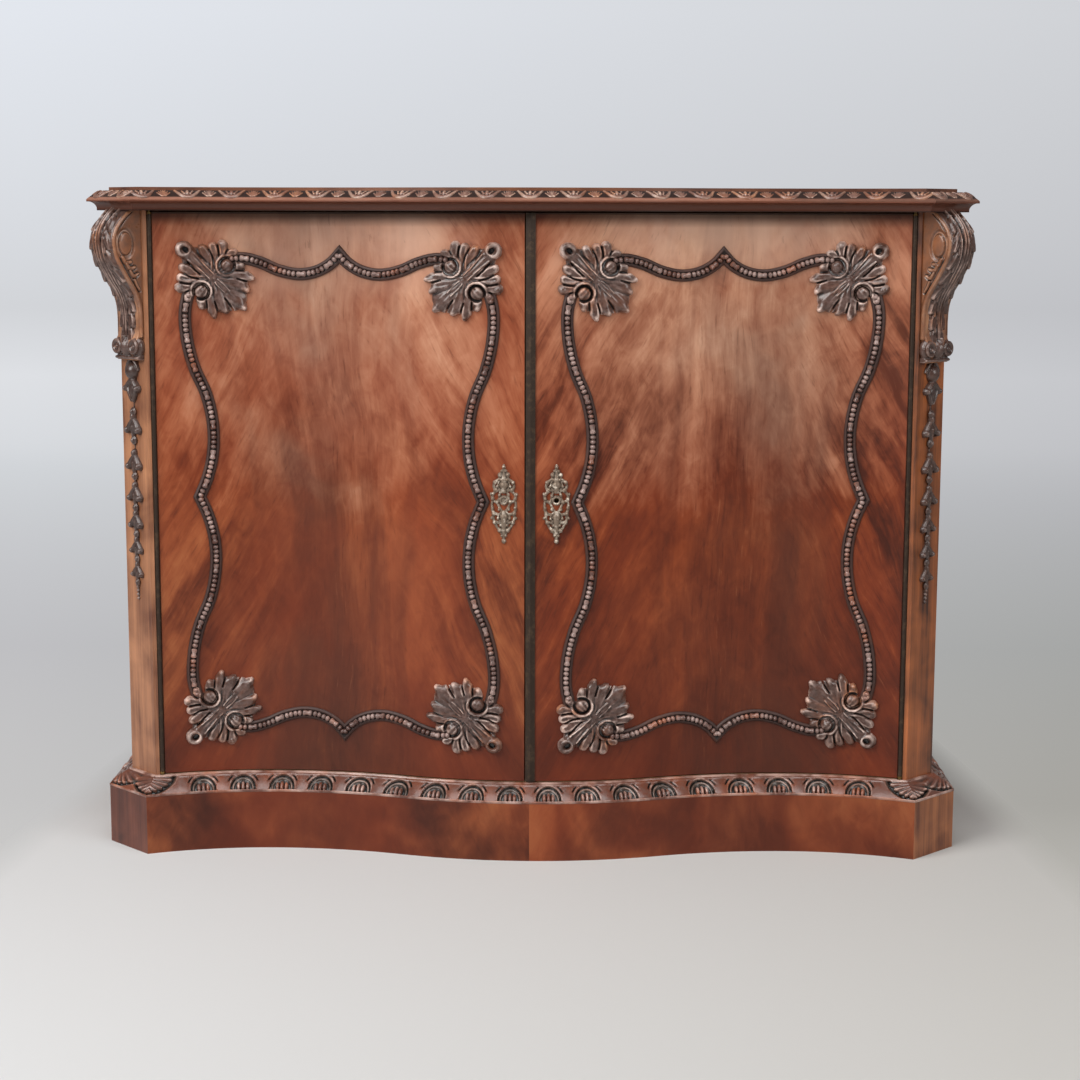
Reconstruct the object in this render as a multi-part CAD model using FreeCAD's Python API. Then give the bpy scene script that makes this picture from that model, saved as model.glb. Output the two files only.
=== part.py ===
"""Low side cabinet with a serpentine front, canted corners and two veneered doors.

All sizes are in millimetres. X runs to the right, Y to the back and Z up.
In the plan used below, Y = 0 is the line through the front edges of the plinth's
canted corners; the finished pieces are moved so that the origin lies on the floor
under the middle of the whole cabinet.
An inset is a distance inward from the plinth's face, all round the front and sides.
"""
import FreeCAD, Part
import math
import os

# Overall size
overall_width = 1220.0
overall_height = 925.0
overall_depth = 460.0

# Plan of the serpentine front, at the plinth's face
wave_share = 18 / 61
wave_depth = 56.0
hollow_setback = 35.0
outer_hollow_share = 22.5 / 61
cant_leg = 64.0

# How far the faces step in and out from the plinth's face
top_overhang = 9.0
body_inset = 30.0

# Heights
plinth_height = 81.5
base_moulding_height = 23.5
top_height = 31.5
door_bottom_gap = 1.5
door_top_gap = 2.0

# Board thicknesses
plinth_thickness = 22.0
side_thickness = 20.0
post_thickness = 27.0
shelf_thickness = 20.0
back_thickness = 18.0
back_panel_thickness = 8.0
carcass_top_thickness = 15.0

# Glue blocks inside the plinth
block_length = 50.0
block_width = 30.0
block_height = 55.0

# Places of the glue blocks, as shares of the cabinet's depth and of the plinth's half width
block_side_shares = (0.35, 0.78)
block_front_shares = (0.12, 0.42, 0.72)
block_back_shares = (0.0, 0.55)

# Base moulding section
base_fillet = 3.0
base_shoulder = 4.0
base_crown = 1.5
base_bulge = 3.0

# Top edge moulding section
nose_height = 3.0
cove_height = 8.5
under_fillet = 3.5
cove_reach = 13.0
cove_lip = 1.5
cove_hollow = 2.5
ovolo_reach = 22.0
ovolo_bulge = 1.6
field_step = 4.5
field_setback = 7.0

# Doors
door_thickness = 26.0
veneer_thickness = 1.2
strip_width = 14.0
strip_projection = 5.0
strip_edge = 2.0
meeting_gap = 1.5
stop_clearance = 1.0
top_rail_height = 45.0
top_rail_thickness = 20.0

# Vertical beads beside the doors; the doors turn about their centre lines
bead_corner_gap = 8.883
bead_radius = 3.25
bead_clearance = 0.35
bead_tongue = 3.0
bead_end_gap = 0.5

# Pivot hinges
plate_thickness = 3.0
plate_length = 46.0
plate_front_inset = 8.0
plate_width = 14.0
arm_width = 4.4
arm_reach = 12.0
pin_radius = 1.9
pin_play = 0.05
collar_radius = 3.0
fixed_plate_nose = 4.0
hinge_screw_radius = 1.6
hinge_screw_length = 14.0
hinge_screw_end = 8.0

# Lock in the right door
keyhole_station = 36.0
keyhole_rise = 3.0
keyhole_radius = 3.5
lock_length = 56.0
lock_height = 60.0
lock_depth = 13.0
lock_wall = 2.0
lock_bolt_width = 7.0
lock_bolt_height = 14.0
lock_bolt_length = 30.0
lock_bolt_play = 0.3
lock_bolt_setback = 0.25
lock_bolt_travel = 10.0
lock_pin_radius = 1.5
strike_thickness = 1.5
strike_height = 50.0
strike_width = 12.0
mortise_clearance = 0.8

# Surface bolts on the back of the left door
bolt_station = 30.0
bolt_plate_width = 16.0
bolt_plate_length = 96.0
bolt_plate_thickness = 2.5
bolt_plate_sink = 0.4
bolt_plate_end = 6.0
bolt_rod_radius = 3.5
bolt_rod_play = 0.05
bolt_rod_standoff = 5.5
bolt_rod_length = 86.0
bolt_tip_setback = 2.5
bolt_travel = 12.0
bolt_guide_height = 8.0
bolt_guide_end = 6.0
bolt_knob_radius = 4.5
bolt_knob_length = 8.0
keeper_width = 18.0
keeper_length = 20.0
keeper_thickness = 2.0
keeper_clearance = 0.6
bolt_hole_depth = 13.0

# Back frame
back_stile_width = 60.0
back_rail_width = 70.0
back_groove_depth = 8.0
back_groove_play = 0.5

# Shelf
shelf_drop = 9.0
shelf_front_setback = 120.0
shelf_side_gap = 0.5
bearer_height = 20.0
bearer_width = 18.0

# Carved consoles on the canted corners
console_height = 203.5
console_side_margin = 1.0
console_projection = 47.0
console_scroll_radius = 9.0
console_scroll_reach = 6.0
console_ledge_height = 5.0
console_ledge_reach = 9.0
console_eye_radius = 9.0
console_eye_depth = 1.5
console_profile_shares = (
    (1.000, 0.42), (0.945, 0.68), (0.865, 0.93), (0.785, 1.00), (0.700, 0.95),
    (0.620, 0.76), (0.530, 0.50), (0.450, 0.28), (0.360, 0.15), (0.240, 0.12), (0.040, 0.14),
)

# Husk drops below the consoles
husk_count = 8
husk_drop_length = 338.0
husk_top_radius = 4.0
husk_mouth_radius = 11.0
husk_bottom_radius = 3.0
husk_taper_share = 0.62
husk_flatness = 3.0
husk_stem_radius = 2.6

# Carved cartouche mouldings on the doors
ornament_inner_margin = 40.0
ornament_outer_margin = 30.4
ornament_end_margin = 32.5
moulding_width = 20.0
moulding_thickness = 6.0
rib_width = 8.0
rib_thickness = 11.0

# Points of a quarter of the cartouche, as shares of its half width and half height
rail_path_shares = ((0.740, 0.984), (0.585, 0.975), (0.450, 0.953), (0.245, 0.920), (0.000, 1.000))
side_path_shares = ((1.000, 0.860), (0.985, 0.650), (0.920, 0.500), (0.843, 0.270), (0.938, 0.000))

# Corner leaves on the doors
leaf_thickness = 12.0
leaf_width = 93.0
leaf_height = 110.0
leaf_side_proud = 12.0
leaf_end_proud = 25.0
leaf_midrib_radius = 15.0
leaf_midrib_rise = 3.0

# Points of the leaf outline: share of the way from inner to outer station and height
leaf_outline_shares = (
    (0.98, 0.92), (0.84, 0.88), (0.66, 0.90), (0.52, 0.80), (0.37, 0.99), (0.30, 0.83), (0.10, 0.72),
    (0.20, 0.60), (0.00, 0.62), (0.07, 0.42), (0.02, 0.28), (0.22, 0.28), (0.10, 0.12), (0.34, 0.18),
    (0.52, 0.02), (0.60, 0.22), (0.76, 0.38), (0.92, 0.30), (1.00, 0.48), (0.86, 0.58), (1.00, 0.64),
    (0.88, 0.78),
)

# Escutcheons
escutcheon_drop = 3.0
escutcheon_height = 117.0
escutcheon_width = 40.0
escutcheon_thickness = 2.2
escutcheon_boss_radius = 6.5
escutcheon_boss_rise = 2.4
escutcheon_boss_offset = 22.5
escutcheon_window_radius = 3.2
escutcheon_window_offset = 9.0
escutcheon_window_rise = 34.0

# Points of the left edge of the plate, as shares of its half width and half height
escutcheon_outline_shares = (
    (0.10, 1.00), (0.42, 0.88), (0.30, 0.74), (0.86, 0.62), (0.62, 0.48), (1.00, 0.34), (0.70, 0.18),
    (0.92, 0.00), (0.72, -0.16), (1.00, -0.36), (0.60, -0.50), (0.80, -0.64), (0.34, -0.76),
    (0.40, -0.90), (0.08, -1.00),
)

# One overrun serves every cut
overrun = 2.0

# Sizes that follow from those above
plinth_half_width = overall_width / 2 - top_overhang
wave_station = overall_width * wave_share
outer_hollow_radius = overall_width * outer_hollow_share
wave_radius = (wave_station ** 2 + wave_depth ** 2) / (4 * wave_depth)
wave_angle = math.degrees(math.asin(wave_station / (2 * wave_radius)))
crest_y = hollow_setback - wave_depth
crest_centre_y = crest_y + wave_radius
hollow_centre_y = hollow_setback - wave_radius
outer_centre_y = hollow_setback - outer_hollow_radius
root_two = math.sqrt(2)
post_line = plinth_half_width - cant_leg - body_inset * root_two
post_reach = (outer_hollow_radius + body_inset) / root_two
post_gap = (post_line + outer_centre_y - wave_station) / 2
post_corner_x = wave_station + post_gap + math.sqrt(post_reach ** 2 - post_gap ** 2)
bead_station = post_corner_x - bead_corner_gap
front_y = crest_y - top_overhang
back_y = front_y + overall_depth
middle_y = (front_y + back_y) / 2
floor_level = plinth_height + base_moulding_height
top_underside = overall_height - top_height
door_bottom = floor_level + door_bottom_gap
door_top = top_underside - door_top_gap
door_end = bead_station - bead_radius - bead_clearance
post_inner = bead_station + bead_radius + bead_clearance
door_middle = (door_bottom + door_top) / 2
keyhole_height = door_middle + keyhole_rise
escutcheon_level = door_middle - escutcheon_drop
shelf_level = door_middle - shelf_drop
console_foot_level = top_underside - console_height
husk_drop_bottom = console_foot_level - husk_drop_length
ornament_station = (ornament_inner_margin + door_end - ornament_outer_margin) / 2
leaf_outer_station = ornament_station - ornament_inner_margin
leaf_inner_station = leaf_outer_station - leaf_width
leaf_outer_height = door_top - door_middle - ornament_end_margin
leaf_inner_height = leaf_outer_height - leaf_height
ornament_half_width = leaf_outer_station - leaf_side_proud
ornament_half_height = leaf_outer_height - leaf_end_proud
meeting_line = -strip_width / 2
left_door_edge = meeting_line - meeting_gap / 2
right_door_edge = meeting_line + meeting_gap / 2
side_inner = plinth_half_width - body_inset - side_thickness
far = overall_width + overall_depth
up = FreeCAD.Vector(0, 0, 1)
backward = FreeCAD.Vector(0, 1, 0)


def point(x, y, z=0.0):
    """A point in the plan, or in space where a height is given."""
    return FreeCAD.Vector(x, y, z)


def box(x_from, x_to, y_from, y_to, z_from, z_to):
    """A box between two corners."""
    corner = point(x_from, y_from, z_from)
    return Part.makeBox(x_to - x_from, y_to - y_from, z_to - z_from, corner)


def rod(radius, start, direction, length):
    """A round rod from a start point."""
    return Part.makeCylinder(radius, length, start, direction)


def mirrored(shape):
    """The same shape on the other side of the cabinet's centre line."""
    return shape.mirror(point(0, 0), point(1, 0))


def on_side(shape, side):
    """A shape made for the right-hand side, or its mirror for the left."""
    return shape if side == "right" else mirrored(shape)


def join(shapes):
    """One solid from pieces that meet or cross."""
    whole = shapes[0].multiFuse(shapes[1:]) if len(shapes) > 1 else shapes[0]
    return whole.removeSplitter()


def group(shapes):
    """Separate solids kept together in one piece."""
    return Part.makeCompound([solid for shape in shapes for solid in shape.Solids])


def prism(points, z_from, z_to):
    """An upright prism on straight-sided plan points."""
    corners = [point(x, y, z_from) for x, y in points]
    face = Part.Face(Part.makePolygon(corners + corners[:1]))
    return face.extrude(up * (z_to - z_from))


# Plan of the front

def front_at(x, inset):
    """Y of the serpentine front at a station, for a face at the given inset."""
    station = abs(x)
    turn = wave_station * (wave_radius - inset) / (2 * wave_radius)
    if station < turn:
        return crest_centre_y - math.sqrt((wave_radius - inset) ** 2 - station ** 2)
    if station < wave_station:
        return hollow_centre_y + math.sqrt((wave_radius + inset) ** 2 - (station - wave_station) ** 2)
    reach = (outer_hollow_radius + inset) ** 2 - (station - wave_station) ** 2
    return outer_centre_y + math.sqrt(reach)


def cant_line(inset):
    """X minus Y on the canted face at the given inset."""
    return plinth_half_width - cant_leg - inset * root_two


def front_corner(inset):
    """Where the serpentine front meets the canted face."""
    shift = cant_line(inset) + outer_centre_y
    middle = (shift + wave_station) / 2
    half_gap = (shift - wave_station) / 2
    x = middle + math.sqrt((outer_hollow_radius + inset) ** 2 / 2 - half_gap ** 2)
    return x, x - cant_line(inset)


def side_corner(inset):
    """Where the canted face meets the side."""
    x = plinth_half_width - inset
    return x, x - cant_line(inset)


def front_edges(inset, x_from, x_to, level):
    """Arcs along the serpentine front from one station to the next."""
    turn = wave_station * (wave_radius - inset) / (2 * wave_radius)
    stations = [-wave_station, -turn, turn, wave_station]
    low, high = min(x_from, x_to), max(x_from, x_to)
    stops = [low] + [x for x in stations if low < x < high] + [high]
    if x_from > x_to:
        stops.reverse()
    edges = []
    for start, end in zip(stops, stops[1:]):
        places = (start, (start + end) / 2, end)
        arc = Part.Arc(*[point(x, front_at(x, inset), level) for x in places])
        edges.append(arc.toShape())
    return edges


def front_band(outer, inner, outer_ends, inner_ends, z_from, z_to):
    """A curved slab of the front between two insets."""
    edges = front_edges(outer, outer_ends[0], outer_ends[1], z_from)
    edges.append(Part.makeLine(
        point(outer_ends[1], front_at(outer_ends[1], outer), z_from),
        point(inner_ends[1], front_at(inner_ends[1], inner), z_from)))
    edges += front_edges(inner, inner_ends[1], inner_ends[0], z_from)
    edges.append(Part.makeLine(
        point(inner_ends[0], front_at(inner_ends[0], inner), z_from),
        point(outer_ends[0], front_at(outer_ends[0], outer), z_from)))
    return Part.Face(Part.Wire(edges)).extrude(up * (z_to - z_from))


def outline_board(inset, z_from, z_to):
    """A board that fills the whole plan behind a face at the given inset."""
    corner_x, corner_y = front_corner(inset)
    side_x, side_y = side_corner(inset)
    edges = front_edges(inset, -corner_x, corner_x, z_from)
    turns = [(corner_x, corner_y), (side_x, side_y), (side_x, back_y),
             (-side_x, back_y), (-side_x, side_y), (-corner_x, corner_y)]
    for start, end in zip(turns, turns[1:]):
        edges.append(Part.makeLine(point(*start, z_from), point(*end, z_from)))
    return Part.Face(Part.Wire(edges)).extrude(up * (z_to - z_from))


def clip(shape, start, end):
    """The part of a shape to the left of an upright plane through two plan points."""
    along_x, along_y = end[0] - start[0], end[1] - start[1]
    length = math.hypot(along_x, along_y)
    along = (along_x / length * far, along_y / length * far)
    left = (-along[1], along[0])
    first = (start[0] - along[0], start[1] - along[1])
    last = (start[0] + along[0], start[1] + along[1])
    keep = prism([first, last, (last[0] + left[0], last[1] + left[1]),
                  (first[0] + left[0], first[1] + left[1])], -far, far)
    return shape.common(keep)


# Mouldings that run round the front and sides

class Section:
    """A moulding's section, drawn in insets and heights."""

    def __init__(self, start):
        self.steps = [("start", start)]

    def line(self, inset, z):
        """A straight edge to the next corner."""
        self.steps.append(("line", (inset, z)))

    def arc(self, inset, z, bulge):
        """A curved edge; a positive bulge swells outward and upward."""
        self.steps.append(("arc", (inset, z), bulge))

    def face(self, place):
        """The closed section, set into space by the given function of inset and height."""
        edges = []
        here = self.steps[0][1]
        for step in self.steps[1:] + [("line", self.steps[0][1])]:
            there = step[1]
            if step[0] == "line":
                edges.append(Part.makeLine(place(*here), place(*there)))
            else:
                run, rise = there[0] - here[0], there[1] - here[1]
                length = math.hypot(run, rise)
                middle = ((here[0] + there[0]) / 2 - rise / length * step[2],
                          (here[1] + there[1]) / 2 + run / length * step[2])
                edges.append(Part.Arc(place(*here), place(*middle), place(*there)).toShape())
            here = there
        return Part.Face(Part.Wire(edges))


def turned(section, centre, radius, sense, angle_from, angle_to):
    """A section swept about an upright axis through a plan centre."""
    start = math.radians(angle_from)

    def place(inset, z):
        reach = radius + sense * inset
        return point(centre[0] + reach * math.cos(start), centre[1] + reach * math.sin(start), z)

    return section.face(place).revolve(point(*centre), up, angle_to - angle_from)


def front_moulding(section, inner, outer):
    """A section run along the serpentine front and mitred at both canted corners."""
    crest = (0, crest_centre_y)
    past = 2 * wave_angle
    runs = [turned(section, crest, wave_radius, -1, -90 - wave_angle, -90 + wave_angle)]
    for side in (-1, 1):
        near = (side * wave_station, hollow_centre_y)
        wide = (side * wave_station, outer_centre_y)
        runs.append(turned(section, near, wave_radius, 1, 90, 90 + side * wave_angle))
        runs.append(turned(section, wide, outer_hollow_radius, 1, 90, 90 - side * past))
    face_corner, inner_corner = front_corner(outer), front_corner(inner)
    whole = clip(join(runs), face_corner, inner_corner)
    return clip(whole, (-inner_corner[0], inner_corner[1]), (-face_corner[0], face_corner[1]))


def side_moulding(section, inner, outer):
    """A section run along the right canted corner and side, mitred at the front."""
    def on_side_face(inset, z):
        return point(plinth_half_width - inset, back_y, z)

    def on_cant(inset, z):
        shift = inset / root_two
        return point(plinth_half_width - shift + cant_leg, 2 * cant_leg + shift, z)

    straight = section.face(on_side_face).extrude(backward * -overall_depth)
    slope = point(-1, -1) * (cant_leg * 4)
    canted = section.face(on_cant).extrude(slope)
    straight = clip(straight, side_corner(inner), side_corner(outer))
    canted = clip(canted, side_corner(outer), side_corner(inner))
    canted = clip(canted, front_corner(inner), front_corner(outer))
    return join([straight, canted])


def base_section():
    """Section of the carved moulding on the plinth: a fillet below a swelling slope."""
    section = Section((body_inset, plinth_height))
    section.line(0, plinth_height)
    section.line(0, plinth_height + base_fillet)
    section.arc(body_inset - base_shoulder, floor_level - base_crown, base_bulge)
    section.line(body_inset - base_shoulder, floor_level)
    section.line(body_inset, floor_level)
    return section


def field_inset():
    """Inset of the raised field's edge on the top."""
    return ovolo_reach + field_setback - top_overhang


def top_section():
    """Section of the carved top edge: fillet, cove, nose and ovolo."""
    cove_foot = top_underside + under_fillet
    nose_foot = cove_foot + cove_height
    nose_top = nose_foot + nose_height
    shoulder = overall_height - field_step
    section = Section((field_inset(), top_underside))
    section.line(cove_reach - top_overhang, top_underside)
    section.line(cove_reach - top_overhang, cove_foot)
    section.arc(cove_lip - top_overhang, nose_foot, -cove_hollow)
    section.line(-top_overhang, nose_foot)
    section.line(-top_overhang, nose_top)
    section.arc(ovolo_reach - top_overhang, shoulder, ovolo_bulge)
    section.line(field_inset(), shoulder)
    return section


# Plinth and carcass

def make_plinth():
    """The plinth's boards, mitred at the canted corners, and its glue blocks."""
    outer, inner = front_corner(0), front_corner(plinth_thickness)
    side_out, side_in = side_corner(0), side_corner(plinth_thickness)
    half = front_band(0, plinth_thickness, (0, outer[0]), (0, inner[0]), 0, plinth_height)
    corner = prism([outer, side_out, side_in, inner], 0, plinth_height)
    side = prism([side_out, (side_out[0], back_y), (side_in[0], back_y), side_in], 0, plinth_height)
    back = box(-side_in[0], side_in[0], back_y - plinth_thickness, back_y, 0, plinth_height)
    foot = plinth_height - block_height
    blocks = []
    for sign in (-1, 1):
        for share in block_front_shares:
            station = share * plinth_half_width
            ends = (sign * station - block_length / 2, sign * station + block_length / 2)
            behind = plinth_thickness + block_width
            blocks.append(front_band(plinth_thickness, behind, ends, ends, foot, plinth_height))
        for share in block_side_shares:
            station = share * back_y
            edges = sorted((sign * side_in[0], sign * (side_in[0] - block_width)))
            blocks.append(box(*edges, station, station + block_length, foot, plinth_height))
    for share in block_back_shares:
        for sign in ((1,) if share == 0 else (-1, 1)):
            centre = sign * share * plinth_half_width
            blocks.append(box(centre - block_length / 2, centre + block_length / 2,
                              back_y - plinth_thickness - block_width, back_y - plinth_thickness,
                              foot, plinth_height))
    return {
        "plinth_front_left": mirrored(half),
        "plinth_front_right": half,
        "plinth_corner_left": mirrored(corner),
        "plinth_corner_right": corner,
        "plinth_side_left": mirrored(side),
        "plinth_side_right": side,
        "plinth_back": back,
        "plinth_glue_blocks": group(blocks),
    }


def make_base():
    """The carved base moulding and the cupboard's bottom board."""
    section = base_section()
    side = side_moulding(section, body_inset, 0)
    return {
        "base_moulding_front": front_moulding(section, body_inset, 0),
        "base_moulding_left": mirrored(side),
        "base_moulding_right": side,
        "bottom_board": outline_board(body_inset, plinth_height, floor_level),
    }


def make_top():
    """The top board with its raised field, its mitred edge mouldings and the board below."""
    section = top_section()
    field = field_inset()
    board_foot = top_underside + carcass_top_thickness
    side = side_moulding(section, field, -top_overhang)
    return {
        "top_board": outline_board(field, board_foot, overall_height),
        "top_moulding_front": front_moulding(section, field, -top_overhang),
        "top_moulding_left": mirrored(side),
        "top_moulding_right": side,
        "carcass_top": outline_board(field, top_underside, board_foot),
    }


def post_points():
    """Plan of the right corner post, from its door edge round the canted face."""
    corner, side = front_corner(body_inset), side_corner(body_inset)
    depth = post_thickness * root_two
    side_back = side_inner - (cant_line(body_inset) - depth)
    return [(post_inner, front_at(post_inner, body_inset)), corner, side, (side[0], side_back),
            (side_inner, side_back), (post_inner, post_inner - side_inner + side_back)]


def make_carcass():
    """Posts, side panels, rail, beads, shelf and bearers."""
    corners = post_points()
    side_back = corners[3][1]
    post = prism(corners, floor_level, top_underside)
    panel = box(side_inner, side_inner + side_thickness, side_back, back_y, floor_level, top_underside)
    bead_low = door_bottom + plate_thickness + bead_end_gap
    bead_high = door_top - plate_thickness - bead_end_gap
    bead_y = front_at(bead_station, body_inset)
    bead = rod(bead_radius, point(bead_station, bead_y, bead_low), up, bead_high - bead_low)
    tongue = box(bead_station, post_inner, bead_y, bead_y + bead_tongue, bead_low, bead_high)
    bearer_back = back_y - back_thickness
    bearer = box(side_inner - bearer_width, side_inner, shelf_front_setback, bearer_back,
                 shelf_level - bearer_height, shelf_level)
    shelf_half = side_inner - shelf_side_gap
    rail_front = hollow_setback + body_inset + door_thickness + stop_clearance
    rail = box(-side_inner, side_inner, rail_front, rail_front + top_rail_thickness,
               top_underside - top_rail_height, top_underside)
    return {
        "corner_post_left": mirrored(post),
        "corner_post_right": post,
        "side_panel_left": mirrored(panel),
        "side_panel_right": panel,
        "post_bead_left": mirrored(join([bead, tongue])),
        "post_bead_right": join([bead, tongue]),
        "shelf": box(-shelf_half, shelf_half, shelf_front_setback, bearer_back,
                     shelf_level, shelf_level + shelf_thickness),
        "shelf_bearers": group([bearer, mirrored(bearer)]),
        "top_front_rail": rail.cut([post, mirrored(post)]),
    }


def make_back():
    """A framed back: three stiles, two rails and two panels held in grooves."""
    front = back_y - back_thickness
    rail_low = floor_level + back_rail_width
    rail_high = top_underside - back_rail_width
    groove_front = front + (back_thickness - back_panel_thickness) / 2
    groove_back = groove_front + back_panel_thickness
    panel_left = back_stile_width / 2 - back_groove_depth
    panel_right = side_inner - back_stile_width + back_groove_depth
    panel_low = rail_low - back_groove_depth
    panel_high = rail_high + back_groove_depth
    groove = box(panel_left, panel_right, groove_front, groove_back, panel_low, panel_high)
    panel = box(panel_left + back_groove_play, panel_right - back_groove_play,
                groove_front, groove_back, panel_low, panel_high - back_groove_play)
    stile = box(side_inner - back_stile_width, side_inner, front, back_y, floor_level, top_underside)
    muntin = box(-back_stile_width / 2, back_stile_width / 2, front, back_y, rail_low, rail_high)
    rail_end = side_inner - back_stile_width
    lower = box(-rail_end, rail_end, front, back_y, floor_level, rail_low)
    upper = box(-rail_end, rail_end, front, back_y, rail_high, top_underside)
    grooves = [groove, mirrored(groove)]
    return {
        "back_stiles": group([piece.cut(grooves) for piece in (mirrored(stile), muntin, stile)]),
        "back_rails": group([piece.cut(grooves) for piece in (lower, upper)]),
        "back_panels": group([panel, mirrored(panel)]),
    }


# Carving on the corners

def cant_place(along, out, z):
    """A point on the right canted corner: along the face from its middle, out from it, and up."""
    corner, side = front_corner(body_inset), side_corner(body_inset)
    middle_x, middle_y_here = (corner[0] + side[0]) / 2, (corner[1] + side[1]) / 2
    return point(middle_x + (along + out) / root_two, middle_y_here + (along - out) / root_two, z)


def cant_width():
    """Width of the canted face of a post."""
    corner, side = front_corner(body_inset), side_corner(body_inset)
    return math.hypot(side[0] - corner[0], side[1] - corner[1])


def make_console():
    """A carved console: an S-shaped bracket with a scroll foot and a ledge."""
    half = cant_width() / 2 - console_side_margin
    height = top_underside - console_foot_level
    start = -half
    curve = [cant_place(start, out * console_projection, console_foot_level + rise * height)
             for rise, out in console_profile_shares]
    head = cant_place(start, 0, top_underside)
    foot = cant_place(start, 0, curve[-1].z)
    sweep = Part.BSplineCurve()
    sweep.interpolate(curve)
    edges = [Part.makeLine(head, curve[0]), sweep.toShape(),
             Part.makeLine(curve[-1], foot), Part.makeLine(foot, head)]
    across = (cant_place(half, 0, 0) - cant_place(start, 0, 0))
    body = Part.Face(Part.Wire(edges)).extrude(across)
    direction = point(1, 1)
    scroll_level = console_foot_level + console_ledge_height + console_scroll_radius
    scroll = rod(console_scroll_radius, cant_place(start, console_scroll_reach, scroll_level),
                 direction, across.Length)
    ledge_corners = [cant_place(start, 0, 0), cant_place(half, 0, 0),
                     cant_place(half, console_ledge_reach, 0), cant_place(start, console_ledge_reach, 0)]
    ledge = prism([(corner.x, corner.y) for corner in ledge_corners],
                  console_foot_level, scroll_level)
    eye_level = console_foot_level + height * console_profile_shares[3][0]
    eye_middle = cant_place(start, console_projection / 2, eye_level)
    eye = rod(console_eye_radius, eye_middle, direction, console_eye_depth)
    console = join([body, scroll, ledge]).cut(eye)
    face_corner, face_side = front_corner(body_inset), side_corner(body_inset)
    return clip(console, face_side, face_corner)


def make_husks():
    """A drop of husks hanging down the middle of the canted face below the console."""
    top = console_foot_level
    pitch = (top - husk_drop_bottom) / husk_count
    pieces = [rod(husk_stem_radius, cant_place(0, 0, husk_drop_bottom), up, top - husk_drop_bottom)]
    for index in range(husk_count):
        mouth = top - pitch * (index + husk_taper_share)
        bell = Part.makeCone(husk_mouth_radius, husk_top_radius, pitch * husk_taper_share,
                             cant_place(0, 0, mouth), up)
        tail = Part.makeCone(husk_bottom_radius, husk_mouth_radius, pitch * (1 - husk_taper_share),
                             cant_place(0, 0, mouth - pitch * (1 - husk_taper_share)), up)
        pieces += [bell, tail]
    drop = join(pieces)
    face_corner, face_side = front_corner(body_inset), side_corner(body_inset)
    drop = clip(drop, face_side, face_corner)
    skin_corner = cant_place(-cant_width(), husk_mouth_radius - husk_flatness, 0)
    skin_side = cant_place(cant_width(), husk_mouth_radius - husk_flatness, 0)
    return clip(drop, (skin_corner.x, skin_corner.y), (skin_side.x, skin_side.y))


# Ornament that lies on the curved door faces

def door_shell(rise_from, rise_to, x_from, x_to, z_from, z_to):
    """The space between two rises in front of a door's face."""
    ends = (x_from, x_to)
    return front_band(body_inset - rise_to, body_inset - rise_from, ends, ends, z_from, z_to)


def raised(faces, rise_to, rise_from=0):
    """Flat outlines in X and Z, laid on the door's curved face between two rises."""
    solid = join([face.extrude(backward * overall_depth) for face in faces])
    bounds = solid.BoundBox
    return solid.common(door_shell(rise_from, rise_to, bounds.XMin - overrun, bounds.XMax + overrun,
                                   bounds.ZMin - overrun, bounds.ZMax + overrun))


def outline_face(points):
    """A flat outline in X and Z, well in front of the cabinet."""
    corners = [point(x, front_y - overrun, z) for x, z in points]
    return Part.Face(Part.makePolygon(corners + corners[:1]))


def circle_through(first, second, third):
    """Centre and radius of the circle through three flat points."""
    circle = Part.Arc(*[point(x, 0, z) for x, z in (first, second, third)]).toShape().Curve
    return (circle.Center.x, circle.Center.z), circle.Radius


def arc_band(first, second, third, width):
    """A flat band of even width along the arc through three points."""
    centre, radius = circle_through(first, second, third)

    def off(place, reach):
        run, rise = place[0] - centre[0], place[1] - centre[1]
        share = reach / radius
        return point(centre[0] + run * share, front_y - overrun, centre[1] + rise * share)

    near, wide = radius - width / 2, radius + width / 2
    edges = [Part.Arc(off(first, wide), off(second, wide), off(third, wide)).toShape(),
             Part.makeLine(off(third, wide), off(third, near)),
             Part.Arc(off(third, near), off(second, near), off(first, near)).toShape(),
             Part.makeLine(off(first, near), off(first, wide))]
    return Part.Face(Part.Wire(edges))


def quarter(shares, sign_x, sign_z):
    """A quarter path of the cartouche on the right door, in real places."""
    return [(ornament_station + sign_x * across * ornament_half_width,
             door_middle + sign_z * rise * ornament_half_height) for across, rise in shares]


def cartouche_run(shares, signs):
    """One cusped moulding with the raised rib on it, from leaf to leaf."""
    paths = [quarter(shares, sign_x, sign_z) for sign_x, sign_z in signs]
    arcs = [arc for path in paths for arc in (path[0:3], path[2:5])]
    moulding = raised([arc_band(*arc, moulding_width) for arc in arcs], moulding_thickness)
    rib = raised([arc_band(*arc, rib_width) for arc in arcs], rib_thickness, moulding_thickness)
    return join([moulding, rib])


def make_leaf(sign_x, sign_z):
    """A scalloped corner leaf with a swelling midrib."""
    def place(across, rise):
        x = leaf_inner_station + across * (leaf_outer_station - leaf_inner_station)
        z = leaf_inner_height + rise * (leaf_outer_height - leaf_inner_height)
        return ornament_station + sign_x * x, door_middle + sign_z * z

    blade = raised([outline_face([place(*shares) for shares in leaf_outline_shares])], leaf_thickness)
    heart_x, heart_z = place(0.5, 0.5)
    disc = Part.Face(Part.Wire(Part.makeCircle(
        leaf_midrib_radius, point(heart_x, front_y - overrun, heart_z), backward)))
    return join([blade, raised([disc], leaf_thickness + leaf_midrib_rise)])


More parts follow.
